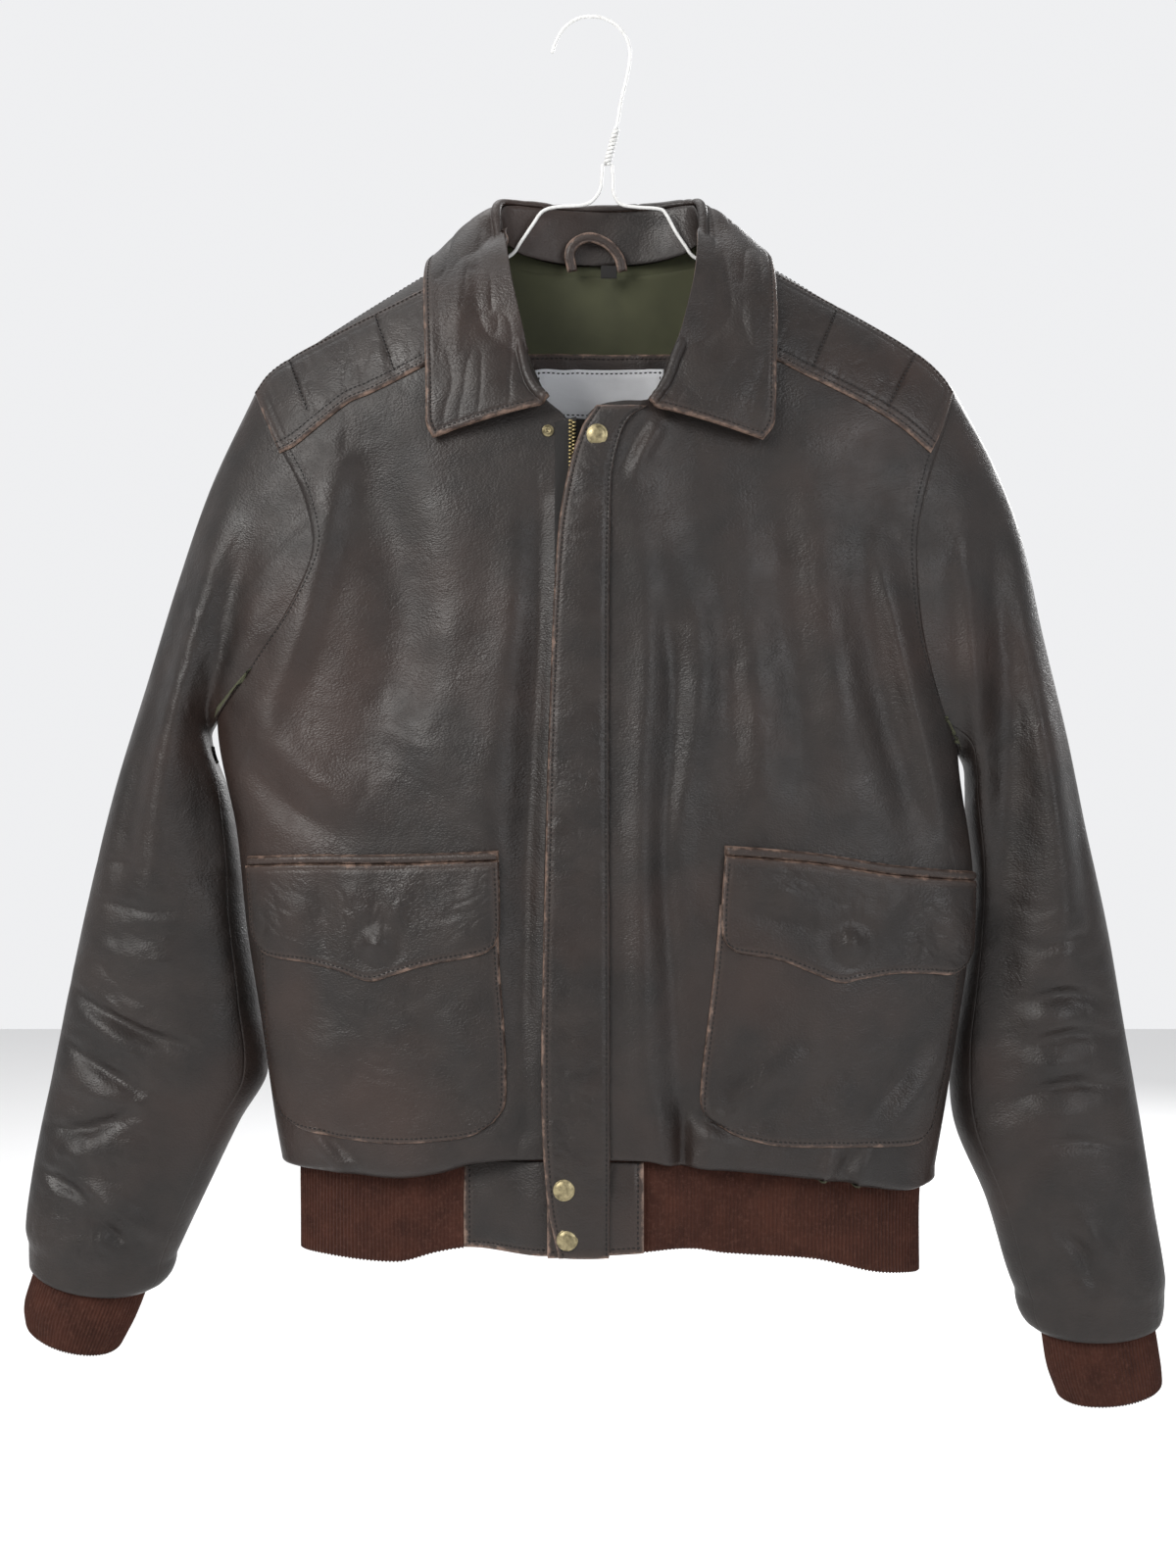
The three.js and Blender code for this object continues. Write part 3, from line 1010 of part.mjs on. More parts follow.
// A wire through points [x, y, drop].
function wire(points, steps, radius = WIRE) {
  const line = points.map(([x, y, drop]) => new THREE.Vector3(x, y, -drop));
  const path = new THREE.CatmullRomCurve3(line, false, "centripetal");
  const ring = Array.from({ length: WIRE_SIDES }, (_, i) => {
    const a = (i / WIRE_SIDES) * 2 * Math.PI;
    return new THREE.Vector2(radius * Math.cos(a), radius * Math.sin(a));
  });
  return new THREE.ExtrudeGeometry(new THREE.Shape(ring), { steps, bevelEnabled: false, extrudePath: path });
}
add("hanger_hook", wire(HOOK, 32), "wire");
add("hanger_twist", wire([TWIST.from, TWIST.to], 3, WIRE + TWIST.radius), "wire");
add("hanger_shoulders", wire(SHOULDER_WIRE, 76), "wire");

export default jacket;
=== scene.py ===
"""A worn leather flight jacket on a wire hanger.

Lengths are in millimetres until a mesh is made. +X is the wearer's left, the front faces -Y, and "drop" is
the distance below the inside of the hanger's hook, so z is -drop.
"""

import math

import bpy
import numpy as np
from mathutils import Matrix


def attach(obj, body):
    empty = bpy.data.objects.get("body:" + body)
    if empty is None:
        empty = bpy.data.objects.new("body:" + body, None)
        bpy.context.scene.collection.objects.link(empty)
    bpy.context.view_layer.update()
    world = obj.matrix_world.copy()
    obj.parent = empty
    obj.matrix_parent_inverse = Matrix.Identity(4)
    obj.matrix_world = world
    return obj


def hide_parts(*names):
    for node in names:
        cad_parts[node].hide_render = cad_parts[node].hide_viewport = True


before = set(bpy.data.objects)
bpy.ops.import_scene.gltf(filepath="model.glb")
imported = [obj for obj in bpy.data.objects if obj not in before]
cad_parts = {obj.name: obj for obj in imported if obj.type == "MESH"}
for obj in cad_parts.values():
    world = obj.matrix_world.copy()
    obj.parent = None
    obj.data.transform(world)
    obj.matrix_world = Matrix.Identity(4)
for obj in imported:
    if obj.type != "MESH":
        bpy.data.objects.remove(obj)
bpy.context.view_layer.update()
scene = bpy.context.scene

MM = 0.001
FRONT, BACK = -1, 1
SIGN = {"right": -1, "left": 1}
LEATHER = 2.0
THIN_LEATHER = 1.3
KNIT = 2.6
SEAM = 0.3
# How far from an edge, and how much on a rim, leather shows rubbed wear and a painted highlight
RUB_AND_HIGHLIGHT_REACH = 7.0
RIM_RUB_AND_HIGHLIGHT = 1.05
STITCH_INSET = 3.4
SEAM_WIDTH = 1.1

# Camera and light

LENS = 56.25
SENSOR = 36
CAMERA_PLACE = (-0.0032, -1.6, -0.5)
LIGHTS = {  # place, what it points at, size, watts, colour
    "window": ((-1.5, -1.7, 0.8), (0, 0, -0.4), 1.2, 66, (1, 0.985, 0.96)),
    "room": ((1.6, -1.9, 0.3), (0.1, 0, -0.5), 1.1, 24, (0.96, 0.98, 1)),
    "ceiling": ((-0.3, 0.4, 1.3), (0, 0, -0.4), 1.4, 14, (1, 1, 1)),
    "behind": ((1.3, 1.9, 0.6), (0, 0, -0.5), 1.1, 44, (1, 1, 1)),
}
ROOM_COLOUR = (0.98, 0.985, 1, 1)
ROOM_FADE = {"From Min": -0.5, "From Max": 0.45, "To Min": 0.48, "To Max": 0.88}


def make_camera():
    data = bpy.data.cameras.new("camera")
    data.lens, data.sensor_width = LENS, SENSOR
    camera = bpy.data.objects.new("camera", data)
    camera.location = CAMERA_PLACE
    camera.rotation_euler = (math.pi / 2, 0, 0)
    scene.collection.objects.link(camera)
    scene.camera = camera


def make_light(name, place, target, size, watts, colour):
    data = bpy.data.lights.new(name, "AREA")
    data.size, data.energy, data.color = size, watts, colour
    light = bpy.data.objects.new(name, data)
    light.location = place
    away = np.array(place, float) - np.array(target, float)
    flat = math.hypot(away[0], away[1])
    light.rotation_euler = (math.atan2(flat, away[2]), 0, math.atan2(away[0], -away[1]))
    scene.collection.objects.link(light)


def make_room():
    """A pale room: its far side, behind the jacket, is brighter than the side it faces."""
    room = bpy.data.worlds.new("pale room")
    room.use_nodes = True
    nodes, links = room.node_tree.nodes, room.node_tree.links
    way = nodes.new("ShaderNodeSeparateXYZ")
    links.new(nodes.new("ShaderNodeTexCoord").outputs["Generated"], way.inputs[0])
    far = nodes.new("ShaderNodeMapRange")
    far.interpolation_type = "SMOOTHSTEP"
    for name, value in ROOM_FADE.items():
        far.inputs[name].default_value = value
    links.new(way.outputs["Y"], far.inputs["Value"])
    nodes["Background"].inputs["Color"].default_value = ROOM_COLOUR
    links.new(far.outputs[0], nodes["Background"].inputs["Strength"])
    scene.world = room


make_camera()
for name, values in LIGHTS.items():
    make_light(name, *values)
make_room()
scene.view_settings.view_transform = "Standard"

# Tables, curves and folds


def rows(text):
    """Numbers in rows. A line or a semicolon ends a row, and commas only help the eye."""
    lines = text.replace(",", " ").replace(";", "\n").split("\n")
    return [[float(number) for number in line.split()] for line in lines if line.strip()]


def curve(knots):
    """A smooth curve through rows of t and its values."""
    k = np.array(rows(knots) if isinstance(knots, str) else knots, float)
    t, v = k[:, 0], k[:, 1:]
    slope = np.empty_like(v)
    slope[1:-1] = (v[2:] - v[:-2]) / (t[2:] - t[:-2])[:, None]
    slope[0] = (v[1] - v[0]) / (t[1] - t[0])
    slope[-1] = (v[-1] - v[-2]) / (t[-1] - t[-2])

    def at(x):
        x = np.clip(np.asarray(x, float), t[0], t[-1])
        i = np.clip(np.searchsorted(t, x, side="right") - 1, 0, len(t) - 2)
        h = (t[i + 1] - t[i])[..., None]
        s = (x - t[i])[..., None] / h
        return ((2 * s**3 - 3 * s**2 + 1) * v[i] + (s**3 - 2 * s**2 + s) * h * slope[i]
                + (3 * s**2 - 2 * s**3) * v[i + 1] + (s**3 - s**2) * h * slope[i + 1])

    return at


def graph(knots):
    at = curve(knots)
    return lambda x: at(x)[..., 0]


def mix(a, b, t):
    return a + (b - a) * t


def smooth(t):
    s = np.clip(t, 0, 1)
    return s * s * (3 - 2 * s)


def quarter_round(d, width):
    """Rises from 0 to 1 over a width, as the quarter of a circle does."""
    return np.sqrt(1 - (1 - np.clip(d / width, 0, 1)) ** 2)


def line_at(d, at, width=SEAM_WIDTH):
    """1 where d is at a line, and 0 away from it."""
    return np.exp(-((d - at) / width) ** 2)


def unit(v):
    return v / np.maximum(np.linalg.norm(v, axis=-1, keepdims=True), 1e-9)


def vec(x, y, drop):
    return np.stack(np.broadcast_arrays(x, y, -np.asarray(drop, float)), -1).astype(float)


def pair(a, b):
    return np.stack(np.broadcast_arrays(a, b), -1)


def shares(columns, rows_down):
    """The shares across and down of a grid with so many cells."""
    return np.meshgrid(np.linspace(0, 1, columns + 1), np.linspace(0, 1, rows_down + 1))


def lengths_along(points):
    return np.concatenate([[0], np.cumsum(np.linalg.norm(np.diff(points, axis=0), axis=1))])


def ripple(p, size, seed):
    """Unevenness from -1 to 1 whose bumps are about size apart."""
    q = np.asarray(p, float) / size + seed * 17.31
    cell = np.floor(q).astype(np.int64)
    f = smooth(q - cell)
    total = np.zeros(q.shape[:-1])
    for corner in range(8):
        d = np.array([corner & 1, corner >> 1 & 1, corner >> 2 & 1])
        c = cell + d
        h = (c[..., 0] * 374761393 + c[..., 1] * 668265263 + c[..., 2] * 974634777) & 0xFFFFFFFF
        h = ((h ^ (h >> 13)) * 1274126177) & 0xFFFFFFFF
        value = ((h ^ (h >> 16)) & 0xFFFF) / 32767.5 - 1
        total += np.prod(np.where(d == 1, f, 1 - f), axis=-1) * value
    return total


def path_of(points):
    p = np.array(points, float)
    if len(p) < 3:
        return p
    t = lengths_along(p)
    return curve(np.column_stack([t, p]))(np.linspace(0, t[-1], 4 * len(p)))


def fold_height(folds, x, drop):
    """The height of folds, each a row of rise, width, skew and the x and drop of its points.

    A fold is a trough where rise is below 0. Skew makes it wider on one side of its line than on the other.
    """
    height = np.zeros(np.broadcast(x, drop).shape)
    for rise, width, skew, *points in folds:
        line = path_of(np.reshape(points, (-1, 2)))
        nearest = np.full(height.shape, np.inf)
        along = np.zeros(height.shape)
        side = np.zeros(height.shape)
        steps = len(line) - 1
        for i in range(steps):
            a, d = line[i], line[i + 1] - line[i]
            on = np.clip(((x - a[0]) * d[0] + (drop - a[1]) * d[1]) / (d @ d), 0, 1)
            ox, od = x - a[0] - on * d[0], drop - a[1] - on * d[1]
            away = ox * ox + od * od
            closer = away < nearest
            nearest = np.where(closer, away, nearest)
            along = np.where(closer, (i + on) / steps, along)
            side = np.where(closer, d[0] * od - d[1] * ox, side)
        w = width * (1 + skew * np.sign(side))
        fade = 0.25 + 0.75 * np.sin(np.pi * np.clip(along, 0.02, 0.98)) ** 0.7
        height += rise * fade * np.exp(-nearest / (w * w))
    return height


def zone_creases(zones, x, drop):
    """Fine creases in soft zones, each a row of depth, pitch, stretch, lean, x, drop, width and length."""
    height = np.zeros(np.broadcast(x, drop).shape)
    for i, (depth, pitch, stretch, lean, at_x, at_drop, width, length) in enumerate(zones):
        c, s = math.cos(math.radians(lean)), math.sin(math.radians(lean))
        along, across = (x - at_x) * c + (drop - at_drop) * s, (drop - at_drop) * c - (x - at_x) * s
        bent = across + 0.7 * pitch * ripple(vec(along, 0 * along, across), 2.2 * pitch, 91 + i)
        place = vec(along / stretch, 0 * along, bent)
        uneven = 0.72 * ripple(place, pitch, 31 + 7 * i) + 0.28 * ripple(place, 0.45 * pitch, 57 + 7 * i)
        inside = np.exp(-((x - at_x) / width) ** 2 - ((drop - at_drop) / length) ** 2)
        height -= depth * inside * (1 - np.abs(uneven)) ** 4
    return height


# Torso

TORSO_FOLDS = {
    FRONT: rows("""
        8 15 0.2, -163 296, -174 355, -187 405, -214 470
        -9 24 0, -150 286, -131 335, -119 390, -136 470; 4 17 0, -46 345, -50 400, -60 460, -66 530
        -7 9 0.2, -33 320, -36 430, -42 560, -44 715; 3 26 0, -98 300, -88 380, -98 470
        5 14 0, -214 458, -186 488, -148 516; -4 10 0, -222 484, -194 512, -160 532
        3 18 0, -118 462, -84 496, -66 530; 3.5 8 0, -192 712, -172 726, -152 744
        -3.5 7 0, -172 716, -146 740; 3 9 0, -64 726, -48 700, -44 650
        8 10 -0.2, 180 350, 190 395, 201 440, 216 493, 226 535
        -6 13 0, 164 375, 178 440, 196 500, 206 545; 4 19 0, 138 290, 148 364, 157 422, 166 500
        -4 17 0, 114 310, 123 400, 134 500; 4.5 11 0, 48 340, 64 395, 69 435, 60 480, 48 540
        -3 12 0, 80 385, 86 450, 91 510; 3 15 0, 100 390, 104 450, 106 520
        -4 7 0, 46 400, 52 460, 44 540, 50 640, 52 700; 4 9 0, 30 340, 36 400, 31 500, 32 620, 34 715
        -3 3.5 0, 18 302, 24 288, 34 270; 3 5 0, 26 306, 33 290, 44 272; -8 4.5 0, 56 700, 55 752
        4 7 0, 40 690, 44 742; 4 8 0, 76 700, 68 744; -3 4 0, 62 702, 84 716; 2.5 6 0, 66 716, 92 728
        3 5 0, 152 728, 140 750; -3 4.5 0, 163 728, 151 752; 3 5 0, 175 729, 163 753"""),
    BACK: rows("""
        9 18 0, -140 280, -165 380, -192 500; 9 18 0, 158 285, 180 390, 206 505
        -8 15 0, -176 320, -196 400, -215 480; -8 15 0, 196 330, 212 410, 228 490
        -8 22 0, -95 320, -108 450, -92 620; -8 22 0, 108 330, 122 450, 104 620
        8 26 0, 8 240, 0 400, 14 600; 6 11 0, -205 520, -150 545, -90 540
        -5 8 0, -208 545, -150 568, -80 560; 6 11 0, 214 540, 160 562, 100 552
        -5 8 0, 216 566, 150 586, 90 575; 5 8 0, -190 640, -165 700, -158 744
        -4 7 0, -170 650, -145 700, -140 745; 5 8 0, -60 670, -54 710, -56 746
        -4 6 0, -40 690, -38 746; 5 8 0, 50 672, 58 712, 54 747; -4 6 0, 74 690, 72 748
        5 8 0, 180 650, 168 705, 164 750; -4 7 0, 196 660, 186 712, 182 752"""),
}
TORSO_ZONES = {
    FRONT: rows("""
        1.3 8 2.4 -38 186 326 22 30; 1 7 2.6 24 -184 322 16 40; 0.6 12 2.2 20 -120 480 60 90
        0.6 12 2.2 80 110 440 90 90; 0.9 7 2.5 -70 58 722 34 20; 0.8 8 2.5 50 -170 732 30 16
        0.7 8 2.2 60 -20 700 26 40"""),
    BACK: rows("""
        1.2 9 2.6 28 -198 420 26 60; 1.2 9 2.6 -28 212 430 26 60; 0.7 14 2.4 5 0 560 150 60
        0.8 9 2.4 85 0 725 200 18; 0.6 13 2.2 10 0 220 120 30"""),
}
CENTRE_X = 8
ROUNDNESS = {FRONT: 2.3, BACK: 2.5}
SHOULDER_ROUND = {FRONT: 85, BACK: 50}
ARMHOLE_SHARE = 0.45
FLAP_LIFT = 7
SIDE_X = {
    "right": graph("240 -232; 459 -243; 530 -230; 592 -223; 655 -213; 711 -205; 745 -199"),
    "left": graph("240 248; 400 240; 480 236; 556 245; 608 242; 655 235; 699 228; 745 220"),
}
ridge_y = graph("140 0; 250 0; 460 -12; 600 -18; 760 -20")
torso_depth = {
    FRONT: graph("140 46; 250 52; 350 56; 450 58; 600 62; 745 64"),
    BACK: graph("140 22; 250 24; 460 36; 600 42; 760 44"),
}
shoulder_drop = graph("""
    -240 272; -221 246; -208 232; -173 207; -108 167; -62 141; 6 118; 75 141; 123 167; 158 188; 190 206
    216 222; 236 243; 252 268""")
NECK_X = {"right": -62, "left": 75}
TIP_X = {"right": -221, "left": 236}


def turn_of(x, centre, reach, roundness):
    """Where x lies between the side seams: -1 at the right one, 1 at the left one."""
    share = np.minimum(np.abs(x - centre) / reach, 1)
    return np.where(x < centre, -1, 1) * (2 / np.pi) * np.arcsin(share ** (roundness / 2))


def side_reach(x, drop):
    return np.where(x < CENTRE_X, CENTRE_X - SIDE_X["right"](drop), SIDE_X["left"](drop) - CENTRE_X)


def across_at(face, x, drop):
    return turn_of(x, CENTRE_X, side_reach(x, drop), ROUNDNESS[face])


def torso_x(face, across, drop):
    angle = np.minimum(np.abs(across), 1) * np.pi / 2
    side = np.where(across < 0, -1, 1)
    return CENTRE_X + side * side_reach(CENTRE_X + side, drop) * np.sin(angle) ** (2 / ROUNDNESS[face])


def torso_point(face, across, drop):
    """A point of the torso's outside."""
    angle = np.minimum(np.abs(across), 1) * np.pi / 2
    x = torso_x(face, across, drop)
    shoulder = quarter_round(drop - shoulder_drop(x), SHOULDER_ROUND[face])
    bulge = np.maximum(np.cos(angle), 0) ** (2 / ROUNDNESS[face]) * shoulder
    folds = fold_height(TORSO_FOLDS[face], x, drop) + zone_creases(TORSO_ZONES[face], x, drop)
    flat = vec(x, 0 * x, drop)
    folds = folds + 1.1 * ripple(flat, 52, 2 + face) + 0.4 * ripple(flat, 21, 5 + face)
    out = SEAM / 2 + torso_depth[face](drop) * bulge + folds * np.minimum(bulge * 1.6, 1)
    return vec(x, ridge_y(drop) + face * out, drop)


def flap_lift(x):
    """How far the left front stands off over the right one."""
    return FLAP_LIFT * (1 - smooth((x - 22) / 45))


def front_surface(side, x, drop):
    x, drop = np.broadcast_arrays(np.asarray(x, float), np.asarray(drop, float))
    p = torso_point(FRONT, across_at(FRONT, x, drop), drop)
    if side == "left":
        p[..., 1] -= flap_lift(x)
    return p


def back_surface(x, drop):
    return torso_point(BACK, across_at(BACK, x, drop), drop)


def normal_of(surface, x, drop, face=FRONT):
    step = 1.5
    across = surface(x + step, drop) - surface(x - step, drop)
    down = surface(x, drop + step) - surface(x, drop - step)
    n = unit(np.cross(across, down))
    return np.where(n[..., 1:2] * face < 0, -n, n)


# Cloth


def grid_normals(points, closed, towards):
    if closed:
        across = np.roll(points, -1, 1) - np.roll(points, 1, 1)
    else:
        across = np.gradient(points, axis=1)
    n = unit(np.cross(across, np.gradient(points, axis=0)))
    middle = n[n.shape[0] // 2, n.shape[1] // 2]
    return -n if middle @ np.array(towards, float) < 0 else n


def make_object(name, vertices, faces, materials, face_material=None, rub_and_highlight=None):
    mesh = bpy.data.meshes.new(name)
    mesh.from_pydata((np.asarray(vertices) * MM).tolist(), [], [list(map(int, f)) for f in faces])
    for material in materials:
        mesh.materials.append(material)
    if face_material is not None:
        mesh.polygons.foreach_set("material_index", np.asarray(face_material, np.int32))
    mesh.polygons.foreach_set("use_smooth", np.ones(len(faces), bool))
    # Per point: rubbed wear and a painted highlight near the piece's edges
    if rub_and_highlight is not None:
        mesh.attributes.new("rub_and_highlight", "FLOAT", "POINT").data.foreach_set("value", np.asarray(rub_and_highlight, np.float32))
    mesh.update()
    piece = bpy.data.objects.new(name, mesh)
    scene.collection.objects.link(piece)
    return piece


def rim_loops(row_count, columns, closed):
    """The grid places round each open edge: two rings of a tube, or the one outline of a sheet."""
    if closed:
        return [(0, c) for c in range(columns)], [(row_count - 1, c) for c in range(columns)]
    last_row, last = row_count - 1, columns - 1
    top, right = [(0, c) for c in range(columns)], [(r, last) for r in range(1, row_count)]
    bottom = [(last_row, c) for c in range(last - 1, -1, -1)]
    left = [(r, 0) for r in range(last_row - 1, 0, -1)]
    return (top + right + bottom + left,)


def cloth(name, points, normals, thickness, materials, closed=False, rub_and_highlight=None):
    """A closed wall under a grid of points, with a round rim. The inner side has the last material."""
    row_count, columns = points.shape[:2]
    thickness = np.broadcast_to(np.asarray(thickness, float), (row_count, columns))[..., None]
    inner = points - normals * thickness
    r, c = np.meshgrid(np.arange(row_count - 1), np.arange(columns if closed else columns - 1), indexing="ij")
    r, c = r.ravel() * columns, c.ravel()
    d = (c + 1) % columns
    quads = np.column_stack([r + c, r + columns + c, r + columns + d, r + d])
    total = row_count * columns
    faces = [quads, quads[:, ::-1] + total]
    vertices = [points.reshape(-1, 3), inner.reshape(-1, 3)]
    count = 2 * total
    for loop in rim_loops(row_count, columns, closed):
        at = np.array(loop)
        into = np.clip(at, 1, [row_count - 2, columns - 2])
        if closed:
            into[:, 1] = at[:, 1]
        outer_rim, inner_rim = points[at[:, 0], at[:, 1]], inner[at[:, 0], at[:, 1]]
        out = unit(outer_rim - points[into[:, 0], into[:, 1]])
        half = thickness[at[:, 0], at[:, 1]] / 2
        vertices.append((outer_rim + inner_rim) / 2 + out * half * 0.7)
        a, m = at[:, 0] * columns + at[:, 1], count + np.arange(len(loop))
        b, n = np.roll(a, -1), np.roll(m, -1)
        faces += [np.column_stack([a, b, n, m]), np.column_stack([m, n, b + total, a + total])]
        count += len(loop)
    vertices = np.concatenate(vertices)
    inside = np.concatenate([np.full(len(f), 1 if i == 1 else 0) for i, f in enumerate(faces)])
    faces = np.concatenate(faces)
    if closed:
        loops = faces[2 * len(quads):]
        first = len(loops) // 2
        loops[:first] = loops[:first, ::-1]
    p0, p1, p2, p3 = (vertices[faces[:, i]] for i in range(4))
    volume = np.einsum("ij,ij->", p0, np.cross(p1, p2)) + np.einsum("ij,ij->", p0, np.cross(p2, p3))
    if volume < 0:
        faces = faces[:, ::-1]
    # Rubbed wear and painted highlight: from the edge on the outer side, full on the rims, none on the inner
    # side
    amount = np.zeros(len(vertices)) if rub_and_highlight is None else np.concatenate(
        [rub_and_highlight.ravel(), rub_and_highlight.ravel() * 0, np.full(len(vertices) - 2 * total, RIM_RUB_AND_HIGHLIGHT)])
    return make_object(name, vertices, faces, materials, inside * (len(materials) - 1), amount)


def edge_rub_and_highlight(d):
    """The rubbed wear and painted highlight of leather at a distance from its edge."""
    return np.exp(-d / RUB_AND_HIGHLIGHT_REACH)


def along_rows(points):
    """The distance of each point from the first and the last column."""
    step = np.linalg.norm(np.diff(points, axis=1), axis=2)
    first = np.concatenate([np.zeros((len(points), 1)), np.cumsum(step, axis=1)], axis=1)
    return first, first[:, -1:] - first


def edge_distances(points):
    """Distances from the left, right, top and bottom edges of a grid."""
    left, right = along_rows(points)
    top, bottom = (d.T for d in along_rows(points.transpose(1, 0, 2)))
    return left, right, top, bottom


def trimmed(line, start, stop):
    t = lengths_along(line)
    at = np.linspace(start, t[-1] - stop, max(len(line), 2))
    return np.column_stack([np.interp(at, t, line[:, k]) for k in range(3)])


def inset(points, edge, distance, ends=(0, 0)):
    """The line that runs a distance inside one edge of a grid, shortened at its ends."""
    g = {"top": points, "bottom": points[::-1], "left": points.transpose(1, 0, 2),
         "right": points[:, ::-1].transpose(1, 0, 2)}[edge]
    step = np.linalg.norm(np.diff(g, axis=0), axis=2)
    depth = np.concatenate([np.zeros((1, g.shape[1])), np.cumsum(step, axis=0)])
    line = [[np.interp(distance, depth[:, c], g[:, c, k]) for k in range(3)] for c in range(g.shape[1])]
    return trimmed(np.array(line), *ends)


def four_sided(top, bottom, inner, outer, u, v):
    """A piece between its edges, each of which gives [a, b] at a share of its length."""
    start, stop = np.array(0.0), np.array(1.0)
    uu, vv = u[..., None], v[..., None]
    corners = mix(mix(inner(start), outer(start), uu), mix(inner(stop), outer(stop), uu), vv)
    return mix(inner(v), outer(v), uu) + mix(top(u), bottom(u), vv) - corners


# Fronts and back

ARMHOLE = {
    FRONT: {
        "right": curve("""
            0 -221 246; 0.06 -208 272; 0.1 -199 287; 0.15 -187 309; 0.2 -180 330; 0.24 -177 350
            0.27 -183 370; 0.3 -197 396; 0.33 -211 416; 0.36 -225 436; 0.4 -236 450; 0.45 -243 459"""),
        "left": curve("""
            0 236 243; 0.06 225 275; 0.11 217 298; 0.16 211 320; 0.21 207 343; 0.25 207 370
            0.29 210 402; 0.33 217 432; 0.37 225 456; 0.41 232 470; 0.45 236 480"""),
    },
    BACK: {
        "right": curve("""
            0 -221 246; 0.1 -213 286; 0.18 -208 325; 0.25 -210 360; 0.31 -217 396; 0.36 -227 426
            0.4 -236 445; 0.45 -243 459"""),
        "left": curve("""
            0 236 243; 0.1 228 286; 0.18 223 330; 0.25 221 370; 0.31 223 408; 0.36 227 440; 0.4 232 462
            0.45 236 480"""),
    },
}
FRONT_EDGE = {
    "right": curve("""
        0 -62 141; 0.05 -64 165; 0.1 -60 190; 0.15 -51 216; 0.19 -42 238; 0.22 -31 256; 0.26 -17 270
        0.3 -11 294; 0.36 -10 334; 1 -10 730"""),
    "left": curve("""
        0 75 141; 0.05 76 165; 0.1 71 192; 0.14 62 218; 0.165 53 240; 0.185 38 257; 0.205 19 259
        0.225 4 262; 0.245 -5 272; 0.28 -14 300; 0.34 -21 340; 0.5 -26 432; 0.75 -30 590; 1 -27 730"""),
}
back_neck = graph("-62 141; -45 151; -20 157; 6 158; 33 157; 58 151; 75 141")
HEM = {
    "right": graph("-199 742; -160 745; -125 747; -95 743; -75 737; -50 734; -10 733"),
    "left": graph("-27 733; 30 733; 52 737; 75 740; 110 744; 150 749; 200 757; 220 754"),
    "back": graph("-199 742; -100 746; 8 747; 110 749; 220 754"),
}
HEM_ROLL = {"centre": 2.6, "side": 8.5, "seam": 3}
HEM_TURN = np.linspace(20, 165, 8)
HEM_DROP = 745
FRONT_CELLS = (150, 240)
BACK_CELLS = (190, 200)


def roll_at(face, x):
    away = np.abs(x - CENTRE_X)
    full = HEM_ROLL["side"]
    if face == FRONT:
        full = mix(HEM_ROLL["centre"], full, smooth((away - 45) / 45))
    return mix(full, HEM_ROLL["seam"], smooth((away / side_reach(x, HEM_DROP + 0 * x) - 0.72) / 0.24))


def roll_hem(points, face):
    """Adds the rows that turn in under the hem."""
    last = points[-1]
    n = grid_normals(points[-3:], False, (0, face, 0))[-1]
    n[:, 2] = 0
    n = unit(n)
    r = roll_at(face, last[:, 0])[:, None]
    up = np.array([0, 0, 1])
    turned_in = [last - n * r * (1 - math.cos(a)) - up * r * math.sin(a) for a in np.radians(HEM_TURN)]
    return np.concatenate([points, np.array(turned_in)])


def along_armhole(v):
    return ARMHOLE_SHARE * np.sin(np.pi / 2 * np.minimum(v / ARMHOLE_SHARE, 1))


def side_edge(face, side, low):
    """The outer edge of a front or the back: down the armhole, then down the side seam to low."""
    armhole = ARMHOLE[face][side]
    start = armhole(np.array(ARMHOLE_SHARE))[1]

    def at(v):
        x, drop = np.moveaxis(armhole(along_armhole(v)), -1, 0)
        across = np.where(v > ARMHOLE_SHARE - 1e-9, SIGN[side], across_at(face, x, drop))
        below = mix(start, low, (v - ARMHOLE_SHARE) / (1 - ARMHOLE_SHARE))
        return pair(across, np.where(v > ARMHOLE_SHARE, below, drop))

    return at


def front_grid(side):
    u, v = shares(*FRONT_CELLS)
    hem = lambda x: HEM[side](x) - roll_at(FRONT, x)
    edge_x = FRONT_EDGE[side](np.array(1.0))[0]

    def inner(v):
        x, drop = np.moveaxis(FRONT_EDGE[side](v), -1, 0)
        return pair(across_at(FRONT, x, drop), mix(drop, mix(drop, hem(x), smooth((v - 0.8) / 0.2)), v))

    def top(u):
        x = mix(NECK_X[side], TIP_X[side], u)
        return pair(across_at(FRONT, x, shoulder_drop(x)), shoulder_drop(x))

    def bottom(u):
        a = mix(across_at(FRONT, edge_x, 735.0), SIGN[side], u)
        return pair(a, hem(torso_x(FRONT, a, 740.0)))

    outer = side_edge(FRONT, side, hem(SIDE_X[side](HEM_DROP)))
    place = four_sided(top, bottom, inner, outer, u, v)
    points = torso_point(FRONT, place[..., 0], place[..., 1])
    if side == "left":
        points[..., 1] -= flap_lift(points[..., 0])
    return roll_hem(points, FRONT)


def back_grid():
    u, v = shares(*BACK_CELLS)
    shoulder = 7 / 19

    def top(u):
        knots = [0, shoulder, 1 - shoulder, 1]
        x = np.interp(u, knots, [TIP_X["right"], NECK_X["right"], NECK_X["left"], TIP_X["left"]])
        drop = np.where((x > NECK_X["right"]) & (x < NECK_X["left"]), back_neck(x), shoulder_drop(x))
        return pair(across_at(BACK, x, drop), drop)

    def bottom(u):
        a = mix(-1, 1, u)
        x = torso_x(BACK, a, 740.0)
        return pair(a, HEM["back"](x) - roll_at(BACK, x))

    lows = {side: HEM[side](SIDE_X[side](HEM_DROP)) - HEM_ROLL["seam"] for side in SIGN}
    right, left = (side_edge(BACK, side, low) for side, low in lows.items())
    place = four_sided(top, bottom, right, left, u, v)
    return roll_hem(torso_point(BACK, place[..., 0], place[..., 1]), BACK)


# Sleeves and cuffs

